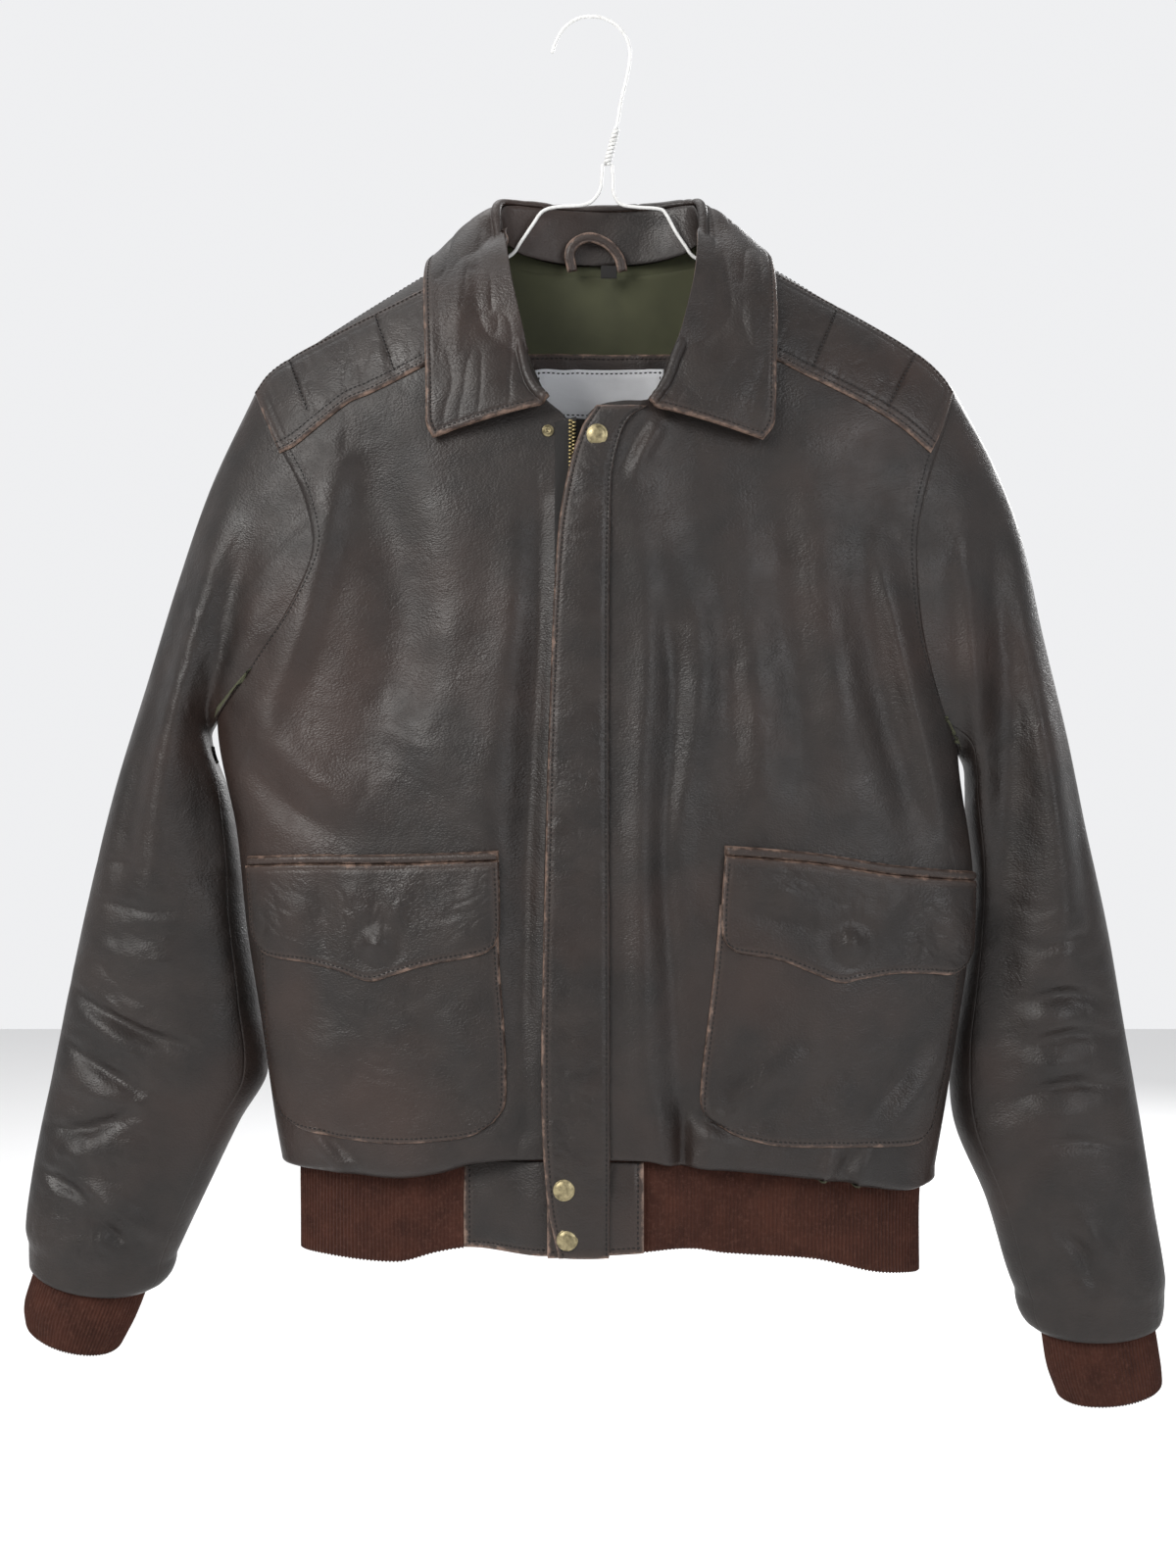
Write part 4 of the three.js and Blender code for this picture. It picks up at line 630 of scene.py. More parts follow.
SLEEVE = {
    "right": curve("""
        0 -222 244 -243 460 -5 38 26 0; 0.07 -250 303 -249 469 0 38 24 0
        0.15 -272 366 -248 483 4 37 22 0; 0.24 -292 434 -239 503 5 36 21 0
        0.34 -311 498 -231 545 5 35 20 0; 0.45 -327 562 -225.5 592 5 35 20 0
        0.57 -341 626 -218 642 5 34 20 0; 0.7 -354 691 -213 688 5 33 20 2
        0.78 -361 723 -231 720 5 32 20 4; 0.86 -367 755 -248 755 5 31 19 7
        0.95 -371 787 -265 791 4 29 18 10; 1 -369 798 -272 806 4 27 17 12"""),
    "left": curve("""
        0 237 244 236 481 -5 38 26 0; 0.07 262 290 242 490 0 38 24 0; 0.14 281 338 243.5 503 4 37 22 0
        0.22 295 402 244 522 5 36 21 0; 0.32 310 466 248 560 6 35 20 0; 0.43 323 530 246 600 7 35 20 0
        0.54 337 594 240 640 7 34 20 0; 0.65 348 658 234 678 7 33 20 1; 0.75 359 723 237 722 6 32 20 3
        0.85 367 775 257 770 5 31 19 6; 0.94 374 818 270 814 4 29 18 8; 1 374 831 276 830 4 27 17 9"""),
}
CUFF = {
    "right": curve("""
        0 -358 794 -286 808 4 19 12 10; 0.3 -364 812 -291 826 4 22 14 10
        0.65 -371 836 -299 847 4 24 16 9; 1 -370 851 -309 866 4 24 16 8"""),
    "left": curve("""
        0 363 828 290 832 4 19 12 9; 0.3 367 850 293 854 4 22 14 8; 0.65 371 876 297 880 4 24 16 7
        1 372 891 304 899 4 24 16 6"""),
}
SLEEVE_FOLDS = {
    FRONT: {
        "right": rows("""
            8 13 0, -232 300, -256 390, -278 490, -288 580
            -11 14 0, -215 330, -234 400, -246 470, -244 560; 4 12 0, -262 330, -292 430, -315 530
            -4 8 0, -250 345, -276 430, -298 520, -306 570
            -5 4.5 0.3, -346 626, -318 645, -282 662, -256 668; 4 9 0, -340 643, -312 660, -286 676
            -4.5 4.5 0, -346 664, -318 682, -292 697; 4 8 0, -348 686, -322 698, -296 706
            -4.5 4.5 0, -356 722, -326 722, -296 712; 4 8 0, -350 740, -315 737
            -4.5 4 0, -356 750, -326 766; 5 5.5 0, -320 764, -298 778, -278 794
            -4 4 0, -322 780, -300 795; -3 4 0, -330 572, -296 580, -262 582
            -3 4 0, -326 548, -292 552; 3 8 0, -330 600, -296 612, -262 616"""),
        "left": rows("""
            9 11 0, 228 310, 238 364, 243 440, 246 500, 250 570
            -13 17 0, 256 330, 268 430, 268 530, 264 620, 262 700
            8 12 0, 272 380, 290 470, 302 550, 306 620; -4 6 0, 292 390, 308 480, 322 590
            -5 4.5 0.2, 278 640, 304 634, 340 642; 3.5 8 0, 282 655, 320 652
            -4 4 0, 280 668, 312 660, 346 666; 3.5 8 0, 284 682, 322 677
            -4.5 4.5 0, 276 700, 314 692, 350 700; 3.5 9 0, 280 716, 324 712
            -3.5 4 0, 282 734, 318 730, 350 738; -3.5 4 0, 288 604, 318 598
            -3.5 4.5 0, 300 786, 314 800, 322 818; 4 7 0, 316 782, 332 806; 3 8 0, 286 770, 296 806"""),
    },
    BACK: {
        "right": rows("""
            7 14 0, -238 320, -262 420, -282 520, -292 600; -7 12 0, -228 350, -244 430, -256 520
            -5 5 0, -340 590, -300 612, -262 616; 4 9 0, -342 610, -300 632, -258 640
            -5 5 0, -350 640, -306 660, -262 662; 4 9 0, -352 664, -306 684, -262 688
            -4.5 5 0, -356 700, -312 712, -272 706; 3.5 8 0, -358 730, -318 738
            -4 4.5 0, -360 756, -322 766, -290 764"""),
        "left": rows("""
            7 14 0, 244 330, 262 420, 282 520, 292 600; -7 12 0, 238 360, 250 440, 262 530
            -5 5 0, 340 580, 300 602, 262 610; 4 9 0, 342 604, 300 626, 258 634
            -5 5 0, 350 636, 306 656, 262 660; 4 9 0, 352 662, 306 682, 262 690
            -4.5 5 0, 356 706, 312 718, 272 716; 3.5 8 0, 362 736, 320 748
            -4 4.5 0, 366 772, 326 784, 290 782"""),
    },
}
SLEEVE_ZONES = {
    "right": rows("""
        1.5 9 3.2 12 -312 640 60 110; 1.2 7 2.6 24 -326 745 44 44; 1.2 5 3 84 -325 794 60 12
        0.7 9 2.6 70 -262 420 36 90"""),
    "left": rows("""
        1.5 9 3.2 -6 316 660 60 100; 1.1 7 2.6 -70 232 330 18 60; 1.2 5 3 84 325 824 60 12
        0.7 9 2.6 78 285 440 36 90"""),
}
SLEEVE_TURNS = {"top": (-0.3, 0.4, 140), "under": (0.4, 0.7, 60)}
SLEEVE_ROWS = 230
ROW_SPACING = 1.15
CUFF_JOIN = 0.36
CUFF_CLEAR = 3.4


def tube_point(section, turn):
    """A point of a tube's section; turn is 0 at the outer edge, a quarter in front and a half inside."""
    outer_x, outer_drop, inner_x, inner_drop, middle_y, front, back, hang = np.moveaxis(section, -1, 0)
    c, s = np.cos(turn * 2 * np.pi), np.sin(turn * 2 * np.pi)
    reach = (1 - c) / 2
    y = middle_y - np.where(s > 0, front, back) * s
    return vec(mix(outer_x, inner_x, reach), y, mix(outer_drop, inner_drop, reach) + hang * s)


def armhole_at(side, turn):
    """The armhole seam, at the same turns as the sleeve's sections."""
    t = np.where(turn <= 0.5, turn, 1 - turn) / 0.5
    seams = {}
    for face in (FRONT, BACK):
        x, drop = np.moveaxis(ARMHOLE[face][side](ARMHOLE_SHARE * mix(t, smooth(t), 0.5)), -1, 0)
        p = torso_point(face, np.where(t > 1 - 1e-9, SIGN[side], across_at(face, x, drop)), drop)
        if face == FRONT and side == "left":
            p[..., 1] -= flap_lift(p[..., 0])
        seams[face] = p
    at_top = smooth(1 - np.minimum(np.abs(turn), np.abs(1 - turn)) / 0.015)
    share = at_top + smooth(1 - np.abs(turn - 0.5) / 0.01)
    seam = np.where((turn <= 0.5)[..., None], seams[FRONT], seams[BACK])
    return mix(seam, (seams[FRONT] + seams[BACK]) / 2, np.clip(share, 0, 1)[..., None])


def sleeve_grid(side, turns):
    turn, share = np.meshgrid(turns % 1, np.linspace(0, 1, SLEEVE_ROWS + 1) ** ROW_SPACING)
    settle_by = mix(0.4, 0.09, (1 - np.cos(turn * 2 * np.pi)) / 2)
    settle = np.maximum(1 - share / settle_by, 0) ** 1.7
    p = tube_point(SLEEVE[side](share), turn)
    p += (armhole_at(side, turn) - tube_point(SLEEVE[side](0 * share), turn)) * settle[..., None]
    x, drop = p[..., 0].copy(), -p[..., 2]
    fine = zone_creases(SLEEVE_ZONES[side], x, drop) + 0.9 * ripple(p, 40, 6) + 0.35 * ripple(p, 18, 9)
    for face in (FRONT, BACK):
        facing = np.maximum(-face * np.sin(turn * 2 * np.pi), 0) ** 0.6
        folds = fold_height(SLEEVE_FOLDS[face][side], x, drop)
        p[..., 1] += face * (folds + fine) * facing * smooth(share / 0.12)
    end = p[-1]
    target = tube_point(CUFF[side](np.full(len(turns), CUFF_JOIN)), turns % 1)
    both = tube_point(CUFF[side](np.full(2, CUFF_JOIN)), np.array([0, 0.5]))
    target += unit(target - both.mean(axis=0)) * CUFF_CLEAR
    turned_in = []
    for t in np.linspace(0, 1, 8)[1:]:
        inward = mix(end, target, 1 - math.sqrt(1 - t * t * 0.96))
        down = mix(end, target, t * 0.8)
        turned_in.append(np.concatenate([inward[:, :2], down[:, 2:]], axis=1))
    return np.concatenate([p, np.array(turned_in)])


# Finishes

# A lighter colour near leather's edges: partly rubbed wear, partly a painted highlight along the edges
PAINTED_EDGE_HIGHLIGHT_AND_RUB = (0.036, 0.0225, 0.0175)
RUBBED_TAN = (0.175, 0.115, 0.088)


class Finish:
    """A material whose nodes are added by kind, with their inputs given by name."""

    def __init__(self, name):
        self.material = bpy.data.materials.new(name)
        self.material.use_nodes = True
        self.nodes = self.material.node_tree.nodes
        self.links = self.material.node_tree.links
        self.shader = self.nodes["Principled BSDF"]
        self.place = self.add("TexCoord").outputs["Object"]

    def add(self, kind, **values):
        node = self.nodes.new("ShaderNode" + kind)
        for name, value in values.items():
            socket = name.replace("_", " ")
            if socket in node.inputs:
                self.set(node, socket, value)
            else:
                setattr(node, name, value)
        return node

    def set(self, node, name, value):
        if isinstance(value, bpy.types.NodeSocket):
            self.links.new(value, node.inputs[name])
        else:
            node.inputs[name].default_value = value

    def noise(self, scale, detail=3.0, roughness=0.55):
        node = self.add("TexNoise", Vector=self.place, Scale=scale, Detail=detail, Roughness=roughness)
        return node.outputs[0]

    def ramp(self, value, low, high, start=0.0, end=1.0):
        node = self.add("MapRange", Value=value, From_Min=low, From_Max=high, To_Min=start, To_Max=end)
        return node.outputs[0]

    def mix(self, share, a, b):
        node = self.add("Mix", data_type="RGBA")
        self.set(node, 0, share)
        for index, value in ((6, a), (7, b)):
            self.set(node, index, value if isinstance(value, bpy.types.NodeSocket) else (*value, 1))
        return node.outputs[2]

    def math(self, operation, a, b=0.0):
        node = self.add("Math", operation=operation)
        self.set(node, 0, a)
        self.set(node, 1, b)
        return node.outputs[0]

    def bump(self, height, distance, strength=1.0, below=None):
        node = self.add("Bump", Height=height, Distance=distance, Strength=strength)
        if below:
            self.set(node, "Normal", below)
        return node.outputs[0]

    def finish(self, **values):
        for name, value in values.items():
            self.set(self.shader, name.replace("_", " "), value)
        return self.material


def leather(name, dark, light, worn, gloss=0.46):
    """Pebbled leather, patchy in colour, lighter near its edges with rubbed wear and a painted highlight, and
    rubbed tan on them.
    """
    f = Finish(name)
    rub_and_highlight = f.add("Attribute", attribute_name="rub_and_highlight").outputs["Fac"]
    base = f.mix(f.ramp(f.noise(26, 4, 0.6), 0.36, 0.68), dark, light)
    base = f.mix(f.math("MULTIPLY", f.ramp(f.noise(7.5, 3, 0.5), 0.5, 0.7), 0.7), base, worn)
    # Lighter near edges: rubbed wear and a painted edge highlight
    base = f.mix(f.math("MULTIPLY", f.ramp(rub_and_highlight, 0.4, 0.9), 0.75), base, PAINTED_EDGE_HIGHLIGHT_AND_RUB)
    patchy = f.math("MULTIPLY", f.math("SUBTRACT", f.noise(110, 4, 0.7), 0.5), 1.1)
    rubbed = f.ramp(f.math("ADD", rub_and_highlight, patchy), 0.86, 1.12)
    base = f.mix(rubbed, base, RUBBED_TAN)
    stretched = f.add("Mapping", Vector=f.place, Scale=(1, 1, 1.5)).outputs[0]
    pebble = f.add("TexVoronoi", Vector=stretched, Scale=620, feature="SMOOTH_F1", Smoothness=0.4)
    lined = f.add("TexVoronoi", Vector=stretched, Scale=260, feature="DISTANCE_TO_EDGE").outputs["Distance"]
    lined = f.math("MULTIPLY", f.ramp(lined, 0, 0.12), f.ramp(f.noise(18, 3), 0.45, 0.7))
    n = f.bump(f.noise(75, 3, 0.5), 0.0011, 0.55)
    n = f.bump(lined, 0.00022, 0.5, n)
    n = f.bump(f.math("SUBTRACT", 1.0, pebble.outputs["Distance"]), 0.00032, 0.6, n)
    rough = f.ramp(f.noise(38, 3), 0.3, 0.7, gloss - 0.07, gloss + 0.12)
    rough = f.math("ADD", rough, f.math("MULTIPLY", rubbed, 0.2))
    return f.finish(Base_Color=base, Roughness=rough, Normal=n, Specular_IOR_Level=0.36)


def woven(name, a, b, scale, strength=0.0003):
    f = Finish(name)
    place = f.add("Mapping", Vector=f.place, Rotation=(0, math.radians(38), 0)).outputs[0]
    wave = f.add("TexWave", Vector=place, Scale=scale, Distortion=0.4, Detail=1, bands_direction="X")
    wave = wave.outputs["Fac"]
    base = f.mix(f.ramp(wave, 0.2, 0.8), a, b)
    base = f.mix(f.ramp(f.noise(20), 0.4, 0.75), base, [0.7 * x for x in a])
    return f.finish(Base_Color=base, Roughness=0.82, Normal=f.bump(wave, strength, 0.6))


def knitted(name):
    f = Finish(name)
    fine = f.noise(420, 3, 0.7)
    base = f.mix(f.ramp(f.noise(60, 3), 0.3, 0.75), (0.026, 0.0088, 0.0056), (0.046, 0.0155, 0.0096))
    base = f.mix(f.ramp(fine, 0.5, 0.75), base, (0.062, 0.026, 0.018))
    n = f.bump(fine, 0.0006, 0.8)
    return f.finish(Base_Color=base, Roughness=0.93, Normal=n, Specular_IOR_Level=0.15, Sheen_Weight=0.06,
                    Sheen_Roughness=0.5)


def metal(name, bright, dull, rough):
    f = Finish(name)
    base = f.mix(f.ramp(f.noise(240, 4, 0.65), 0.38, 0.66), bright, dull)
    rough = f.ramp(f.noise(600), 0.3, 0.7, rough, rough + 0.18)
    return f.finish(Base_Color=base, Metallic=1.0, Roughness=rough, Normal=f.bump(f.noise(900), 0.0001, 0.4))


def white_wire():
    f = Finish("white coated wire")
    base = f.mix(f.ramp(f.noise(300, 3), 0.5, 0.8), (0.60, 0.60, 0.59), (0.46, 0.45, 0.44))
    return f.finish(Base_Color=base, Roughness=0.38, Normal=f.bump(f.noise(500), 0.0001, 0.35))


def pale_floor():
    f = Finish("pale floor")
    return f.finish(Base_Color=f.mix(f.noise(3), (0.86, 0.86, 0.86), (0.88, 0.88, 0.88)), Roughness=0.9)


BROWN = leather("brown leather", (0.0082, 0.0060, 0.0052), (0.0160, 0.0112, 0.0094), (0.028, 0.0152, 0.0115))
EDGE_BROWN = leather("raw edged leather", (0.0082, 0.0058, 0.0050), (0.0160, 0.0110, 0.0090),
                     (0.029, 0.0155, 0.0115), 0.43)
OLIVE = woven("olive lining", (0.042, 0.044, 0.021), (0.062, 0.064, 0.031), 900)
RIB = knitted("red brown knit")
WHITE = woven("white label", (0.66, 0.67, 0.70), (0.78, 0.79, 0.82), 1400, 0.0002)
TAPE = woven("black tape", (0.007, 0.006, 0.006), (0.014, 0.012, 0.011), 1200)
THREAD = woven("dark thread", (0.004, 0.0032, 0.003), (0.012, 0.009, 0.008), 1500)
BRASS = metal("aged brass", (0.34, 0.29, 0.17), (0.13, 0.11, 0.066), 0.36)
TOOTH = metal("zip brass", (0.42, 0.34, 0.17), (0.2, 0.16, 0.08), 0.3)
WIRE_WHITE = white_wire()
FLOOR = pale_floor()


def dress(piece, nodes):
    """Hangs a finished piece on the root and hides the parts of model.glb that it stands for."""
    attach(piece, "root")
    if nodes:
        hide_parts(*nodes)


# Repeats, by Geometry Nodes


class Pattern:
    """A Geometry Nodes tree with named inputs, run over a base mesh to give a plain one."""

    KINDS = {float: "NodeSocketFloat", bpy.types.Material: "NodeSocketMaterial"}

    def __init__(self, name, **sizes):
        self.tree = bpy.data.node_groups.new(name, "GeometryNodeTree")
        self.tree.interface.new_socket("Geometry", in_out="INPUT", socket_type="NodeSocketGeometry")
        for size, kind in sizes.items():
            self.tree.interface.new_socket(size, in_out="INPUT", socket_type=self.KINDS[kind])
        self.tree.interface.new_socket("Geometry", in_out="OUTPUT", socket_type="NodeSocketGeometry")
        self.inputs = self.tree.nodes.new("NodeGroupInput").outputs

    def add(self, kind, settings=None, **values):
        node = self.tree.nodes.new(kind)
        for name, value in (settings or {}).items():
            setattr(node, name, value)
        for name, value in values.items():
            self.put(node, name.replace("_", " "), value)
        return node

    def put(self, node, name, value):
        if isinstance(value, bpy.types.NodeSocket):
            self.tree.links.new(value, node.inputs[name])
        else:
            node.inputs[name].default_value = value

    def math(self, operation, a, b=0.0):
        node = self.add("ShaderNodeMath", {"operation": operation})
        self.put(node, 0, a)
        self.put(node, 1, b)
        return node.outputs[0]

    def along_line(self, instance, size):
        """Ends the tree with an instance at each pitch along the lines, its Z along them."""
        line = self.add("GeometryNodeMeshToCurve", Mesh=self.inputs["Geometry"]).outputs[0]
        pitch = self.inputs["Pitch"]
        along = self.add("GeometryNodeCurveToPoints", {"mode": "LENGTH"}, Curve=line, Length=pitch).outputs
        aligned = self.add("FunctionNodeAlignRotationToVector", {"axis": "Z"}, Vector=along["Tangent"])
        placed = self.add("GeometryNodeInstanceOnPoints", Points=along["Points"], Instance=instance,
                          Rotation=aligned.outputs[0], Scale=size.outputs[0])
        return self.end(placed.outputs[0])

    def end(self, geometry):
        real = self.add("GeometryNodeRealizeInstances", Geometry=geometry)
        finish = self.inputs["Finish"]
        dressed = self.add("GeometryNodeSetMaterial", Geometry=real.outputs[0], Material=finish)
        self.tree.links.new(dressed.outputs[0], self.tree.nodes.new("NodeGroupOutput").inputs[0])
        return self

    def over(self, piece, **values):
        modifier = piece.modifiers.new("pattern", "NODES")
        modifier.node_group = self.tree
        for item in self.tree.interface.items_tree:
            if item.in_out == "INPUT" and item.name in values:
                modifier[item.identifier] = values[item.name]
        evaluated = piece.evaluated_get(bpy.context.evaluated_depsgraph_get())
        mesh = bpy.data.meshes.new_from_object(evaluated)
        piece.modifiers.clear()
        mesh.name = piece.name
        mesh.polygons.foreach_set("use_smooth", np.ones(len(mesh.polygons), bool))
        piece.data = mesh
        return piece


def stitch_pattern():
    """Stitches lie end to end along each line, half sunk in the leather."""
    p = Pattern("stitches along a line", Pitch=float, Length=float, Thread=float, Finish=bpy.types.Material)
    stitch = p.add("GeometryNodeMeshUVSphere", Segments=6, Rings=4, Radius=1.0).outputs[0]
    size = p.add("ShaderNodeCombineXYZ", X=p.inputs["Thread"], Y=p.inputs["Thread"], Z=p.inputs["Length"])
    return p.along_line(stitch, size)


def tooth_pattern():
    """Zip teeth along a line, one block each."""
    p = Pattern("teeth along a zip", Pitch=float, Width=float, Finish=bpy.types.Material)
    block = p.add("GeometryNodeMeshCube").outputs[0]
    size = p.add("ShaderNodeCombineXYZ", X=p.inputs["Width"], Y=1.4 * MM, Z=1.1 * MM)
    return p.along_line(block, size)


def rib_pattern():
    """Upright ribs of a knit: the wall stands out and in with its distance round the piece."""
    p = Pattern("ribs round a knit", Pitch=float, Depth=float, Finish=bpy.types.Material)
    way_round = p.add("GeometryNodeInputNamedAttribute", {"data_type": "FLOAT"}, Name="round")
    ribs = p.math("DIVIDE", way_round.outputs["Attribute"], p.inputs["Pitch"])
    turn = p.math("MULTIPLY", ribs, 2 * math.pi)
    height = p.math("MULTIPLY", p.math("COSINE", turn), p.inputs["Depth"])
    offset = p.add("ShaderNodeVectorMath", {"operation": "SCALE"}, Scale=height)
    p.put(offset, 0, p.add("GeometryNodeInputNormal").outputs[0])
    moved = p.add("GeometryNodeSetPosition", Geometry=p.inputs["Geometry"], Offset=offset.outputs[0])
    return p.end(moved.outputs[0])


STITCHES, RIBS, TEETH = stitch_pattern(), rib_pattern(), tooth_pattern()
STITCH = {"Pitch": 3.1 * MM, "Length": 1.1 * MM, "Thread": 0.52 * MM, "Finish": THREAD}
RIB_DEPTH = 0.45 * MM
sewn = {}


def sew(group, *lines):
    sewn.setdefault(group, []).extend(lines)


def sew_edges(group, points, distance, **ends):
    """Rows of stitches inside the named edges of a grid, each shortened at its ends."""
    sew(group, *[inset(points, edge, distance, trim) for edge, trim in ends.items()])


def sew_round(group, points, distance):
    for edge in ("top", "bottom", "left", "right"):
        sew(group, inset(points, edge, distance, (distance, distance)))


def lines_object(name, lines):
    joins, start = [], 0
    for line in lines:
        joins += [(start + i, start + i + 1) for i in range(len(line) - 1)]
        start += len(line)
    mesh = bpy.data.meshes.new(name)
    mesh.from_pydata((np.concatenate(lines) * MM).tolist(), joins, [])
    piece = bpy.data.objects.new(name, mesh)
    scene.collection.objects.link(piece)
    return piece


def ribbed(name, points, normals, pitch, closed):
    """A knit wall whose ribs run down it."""
    columns = points.shape[1]
    middle = points[len(points) // 2]
    step = np.linalg.norm(np.diff(np.concatenate([middle, middle[:1]]), axis=0), axis=1)
    total = step.sum() if closed else step[:-1].sum()
    pitch = total / round(total / pitch)
    at = np.concatenate([[0], np.cumsum(step)])[:columns]
    piece = cloth(name, points, normals, KNIT, [RIB], closed)
    mesh = piece.data
    way_round = np.resize(np.tile(at, 2 * len(points)), len(mesh.vertices))
    places = np.zeros(len(mesh.vertices) * 3)
    mesh.vertices.foreach_get("co", places)
    flat = points.reshape(-1, 3)
    for i, p in enumerate(places.reshape(-1, 3)[2 * len(flat):] / MM):
        way_round[2 * len(flat) + i] = at[np.argmin(((flat - p) ** 2).sum(axis=1)) % columns]
    mesh.attributes.new("round", "FLOAT", "POINT").data.foreach_set("value", way_round.astype(np.float32))
    return RIBS.over(piece, Pitch=float(pitch), Depth=RIB_DEPTH, Finish=RIB)


# Wires and turned pieces


def wound(name, rings, material):
    """A closed skin round a stack of rings."""
    count, sides = rings.shape[:2]
    vertices = np.concatenate([rings.reshape(-1, 3), [rings[0].mean(axis=0), rings[-1].mean(axis=0)]])
    faces, last = [], (count - 1) * sides
    pairs = [(c, (c + 1) % sides) for c in range(sides)]
    for r in range(0, last, sides):
        faces += [(r + c, r + d, r + sides + d, r + sides + c) for c, d in pairs]
    for c, d in pairs:
        faces += [(count * sides, d, c), (count * sides + 1, last + c, last + d)]
    fans = ((f[0], f[k], f[k + 1]) for f in faces for k in range(1, len(f) - 1))
    if sum(vertices[a] @ np.cross(vertices[b], vertices[c]) for a, b, c in fans) < 0:
        faces = [f[::-1] for f in faces]
    return make_object(name, vertices, faces, [material])


def tube(name, line, radius, material, sides=14):
    """A wire along a line, with round ends."""
    line = np.asarray(line, float)
    tangent = unit(np.gradient(line, axis=0))
    across = np.zeros_like(line)
    across[0] = unit(np.cross(tangent[0], [0.1, 1, 0.2]))
    for i in range(1, len(line)):
        across[i] = unit(across[i - 1] - tangent[i] * (across[i - 1] @ tangent[i]))
    other = np.cross(tangent, across)
    ends = np.radians([75, 50, 25])
    stack = [(line[0] - tangent[0] * radius * np.sin(a), radius * np.cos(a), 0) for a in ends]
    stack += [(p, radius, i) for i, p in enumerate(line)]
    stack += [(line[-1] + tangent[-1] * radius * np.sin(a), radius * np.cos(a), -1) for a in ends[::-1]]
    turn = np.linspace(0, 2 * np.pi, sides, endpoint=False)[:, None]
    rings = [p + r * (np.cos(turn) * across[k] + np.sin(turn) * other[k]) for p, r, k in stack]
    return wound(name, np.array(rings), material)


def turned(name, profile, centre, material, sides=40):
    """A round piece that faces the front, from rows of radius and how far forward."""
    x, y, z = centre
    turn = np.linspace(0, 2 * np.pi, sides, endpoint=False)
    rings = [[[x + r * np.cos(a), y - forward, z + r * np.sin(a)] for a in turn] for r, forward in profile]
    return wound(name, np.array(rings), material)


# Pieces laid on the cloth

GROOVE_DEPTH = 0.45


def edge_line(points):
    p = np.array(points, float)
    if len(p) == 2:
        return lambda s: mix(p[0], p[1], np.asarray(s)[..., None])
    t = lengths_along(p)
    return curve(np.column_stack([t / t[-1], p]))


def edges(top, bottom, left="", right=""):
    """The four edges of a piece. The left and right ones need only the points between its corners."""
    top, bottom = rows(top), rows(bottom)
    return [top, bottom, [top[0], *rows(left), bottom[0]], [top[-1], *rows(right), bottom[-1]]]


def laid(name, surface, outline, low, thick, cells, material=EDGE_BROWN, inside=False, soft=3.0,
         groove=STITCH_INSET, extra=None):
    """A piece sewn on the cloth: its face is thick over a base that lies low above the surface."""
    top, bottom, left, right = map(edge_line, outline)
    place = four_sided(top, bottom, left, right, *shares(*cells))
    x, drop = place[..., 0], place[..., 1]
    on = surface(x, drop)
    n = -normal_of(surface, x, drop, BACK) if inside else normal_of(surface, x, drop)
    d = np.minimum.reduce(edge_distances(on))
    height = thick * (0.3 + 0.7 * quarter_round(d, soft))
    if groove:
        height = height - GROOVE_DEPTH * line_at(d, groove)
    if extra is not None:
        height = height + extra(x, drop, d)
    points = on + n * (low + height)[..., None]
    return cloth(name, points, n, height, [material], rub_and_highlight=edge_rub_and_highlight(d)), points


# Making the garment

UNLINED_ROWS = 46


def unlined(piece, first, outer):
    """Leaves the first faces of a wall's inner side in plain leather."""
    index = np.zeros(len(piece.data.polygons), np.int32)
    piece.data.polygons.foreach_get("material_index", index)
    index[outer:outer + first] = 0
    piece.data.polygons.foreach_set("material_index", index)


def make_torso():
    fronts, back = {side: front_grid(side) for side in SIGN}, back_grid()
    for side in SIGN:
        sew("fronts", inset(fronts[side][:int(ARMHOLE_SHARE * FRONT_CELLS[1])], "right", 5, (24, 8)),
            inset(fronts[side], "top", 6, (20, 30)))
        armhole = back[:int(ARMHOLE_SHARE * BACK_CELLS[1])]
        outer, shoulder = ("left", back[:, :70]) if side == "right" else ("right", back[:, -70:])
        sew("back", inset(armhole, outer, 5, (4, 8)), inset(shoulder, "top", 5, (4, 4)))
    for side, grid in fronts.items():
        normals = grid_normals(grid, False, (0, -1, 0))
        piece = cloth(f"front_{side}_leather", grid, normals, LEATHER, [BROWN, OLIVE])
        dress(piece, [f"front_{side}"])
    piece = cloth("back_leather", back, grid_normals(back, False, (0, 1, 0)), LEATHER, [BROWN, OLIVE])
    dress(piece, ["back"])


def make_sleeves():
    for side in SIGN:
        for name, (start, stop, count) in SLEEVE_TURNS.items():
            grid = sleeve_grid(side, np.linspace(start, stop, count + 1))
            towards = SIGN[side] if name == "top" else -SIGN[side]
            normals = grid_normals(grid, False, (towards, 0, 0))
            piece = cloth(f"sleeve_{side}_{name}_leather", grid, normals, LEATHER, [BROWN, OLIVE])
            unlined(piece, UNLINED_ROWS * count, (len(grid) - 1) * count)
            dress(piece, [f"sleeve_{side}_{name}"])


# Waist and cuffs

WAIST_REACH = {"right": 198, "left": 200}
WAIST_CENTRE = 10
WAIST_TOP = 727
KNIT_FORWARD = 12
END_FORWARD = 17
KNIT_FROM, KNIT_TO = 24, -81
WAIST_ENDS = {"right": (-81, -12), "left": (-28, 31)}
waist_low_front = graph("""
    -188 797; -125 801; -98 794; -79 791; -30 793; 32 790; 60 789; 85 794; 140 799; 180 809; 210 812""")
waist_low_back = graph("-188 797; -60 801; 80 803; 210 812")


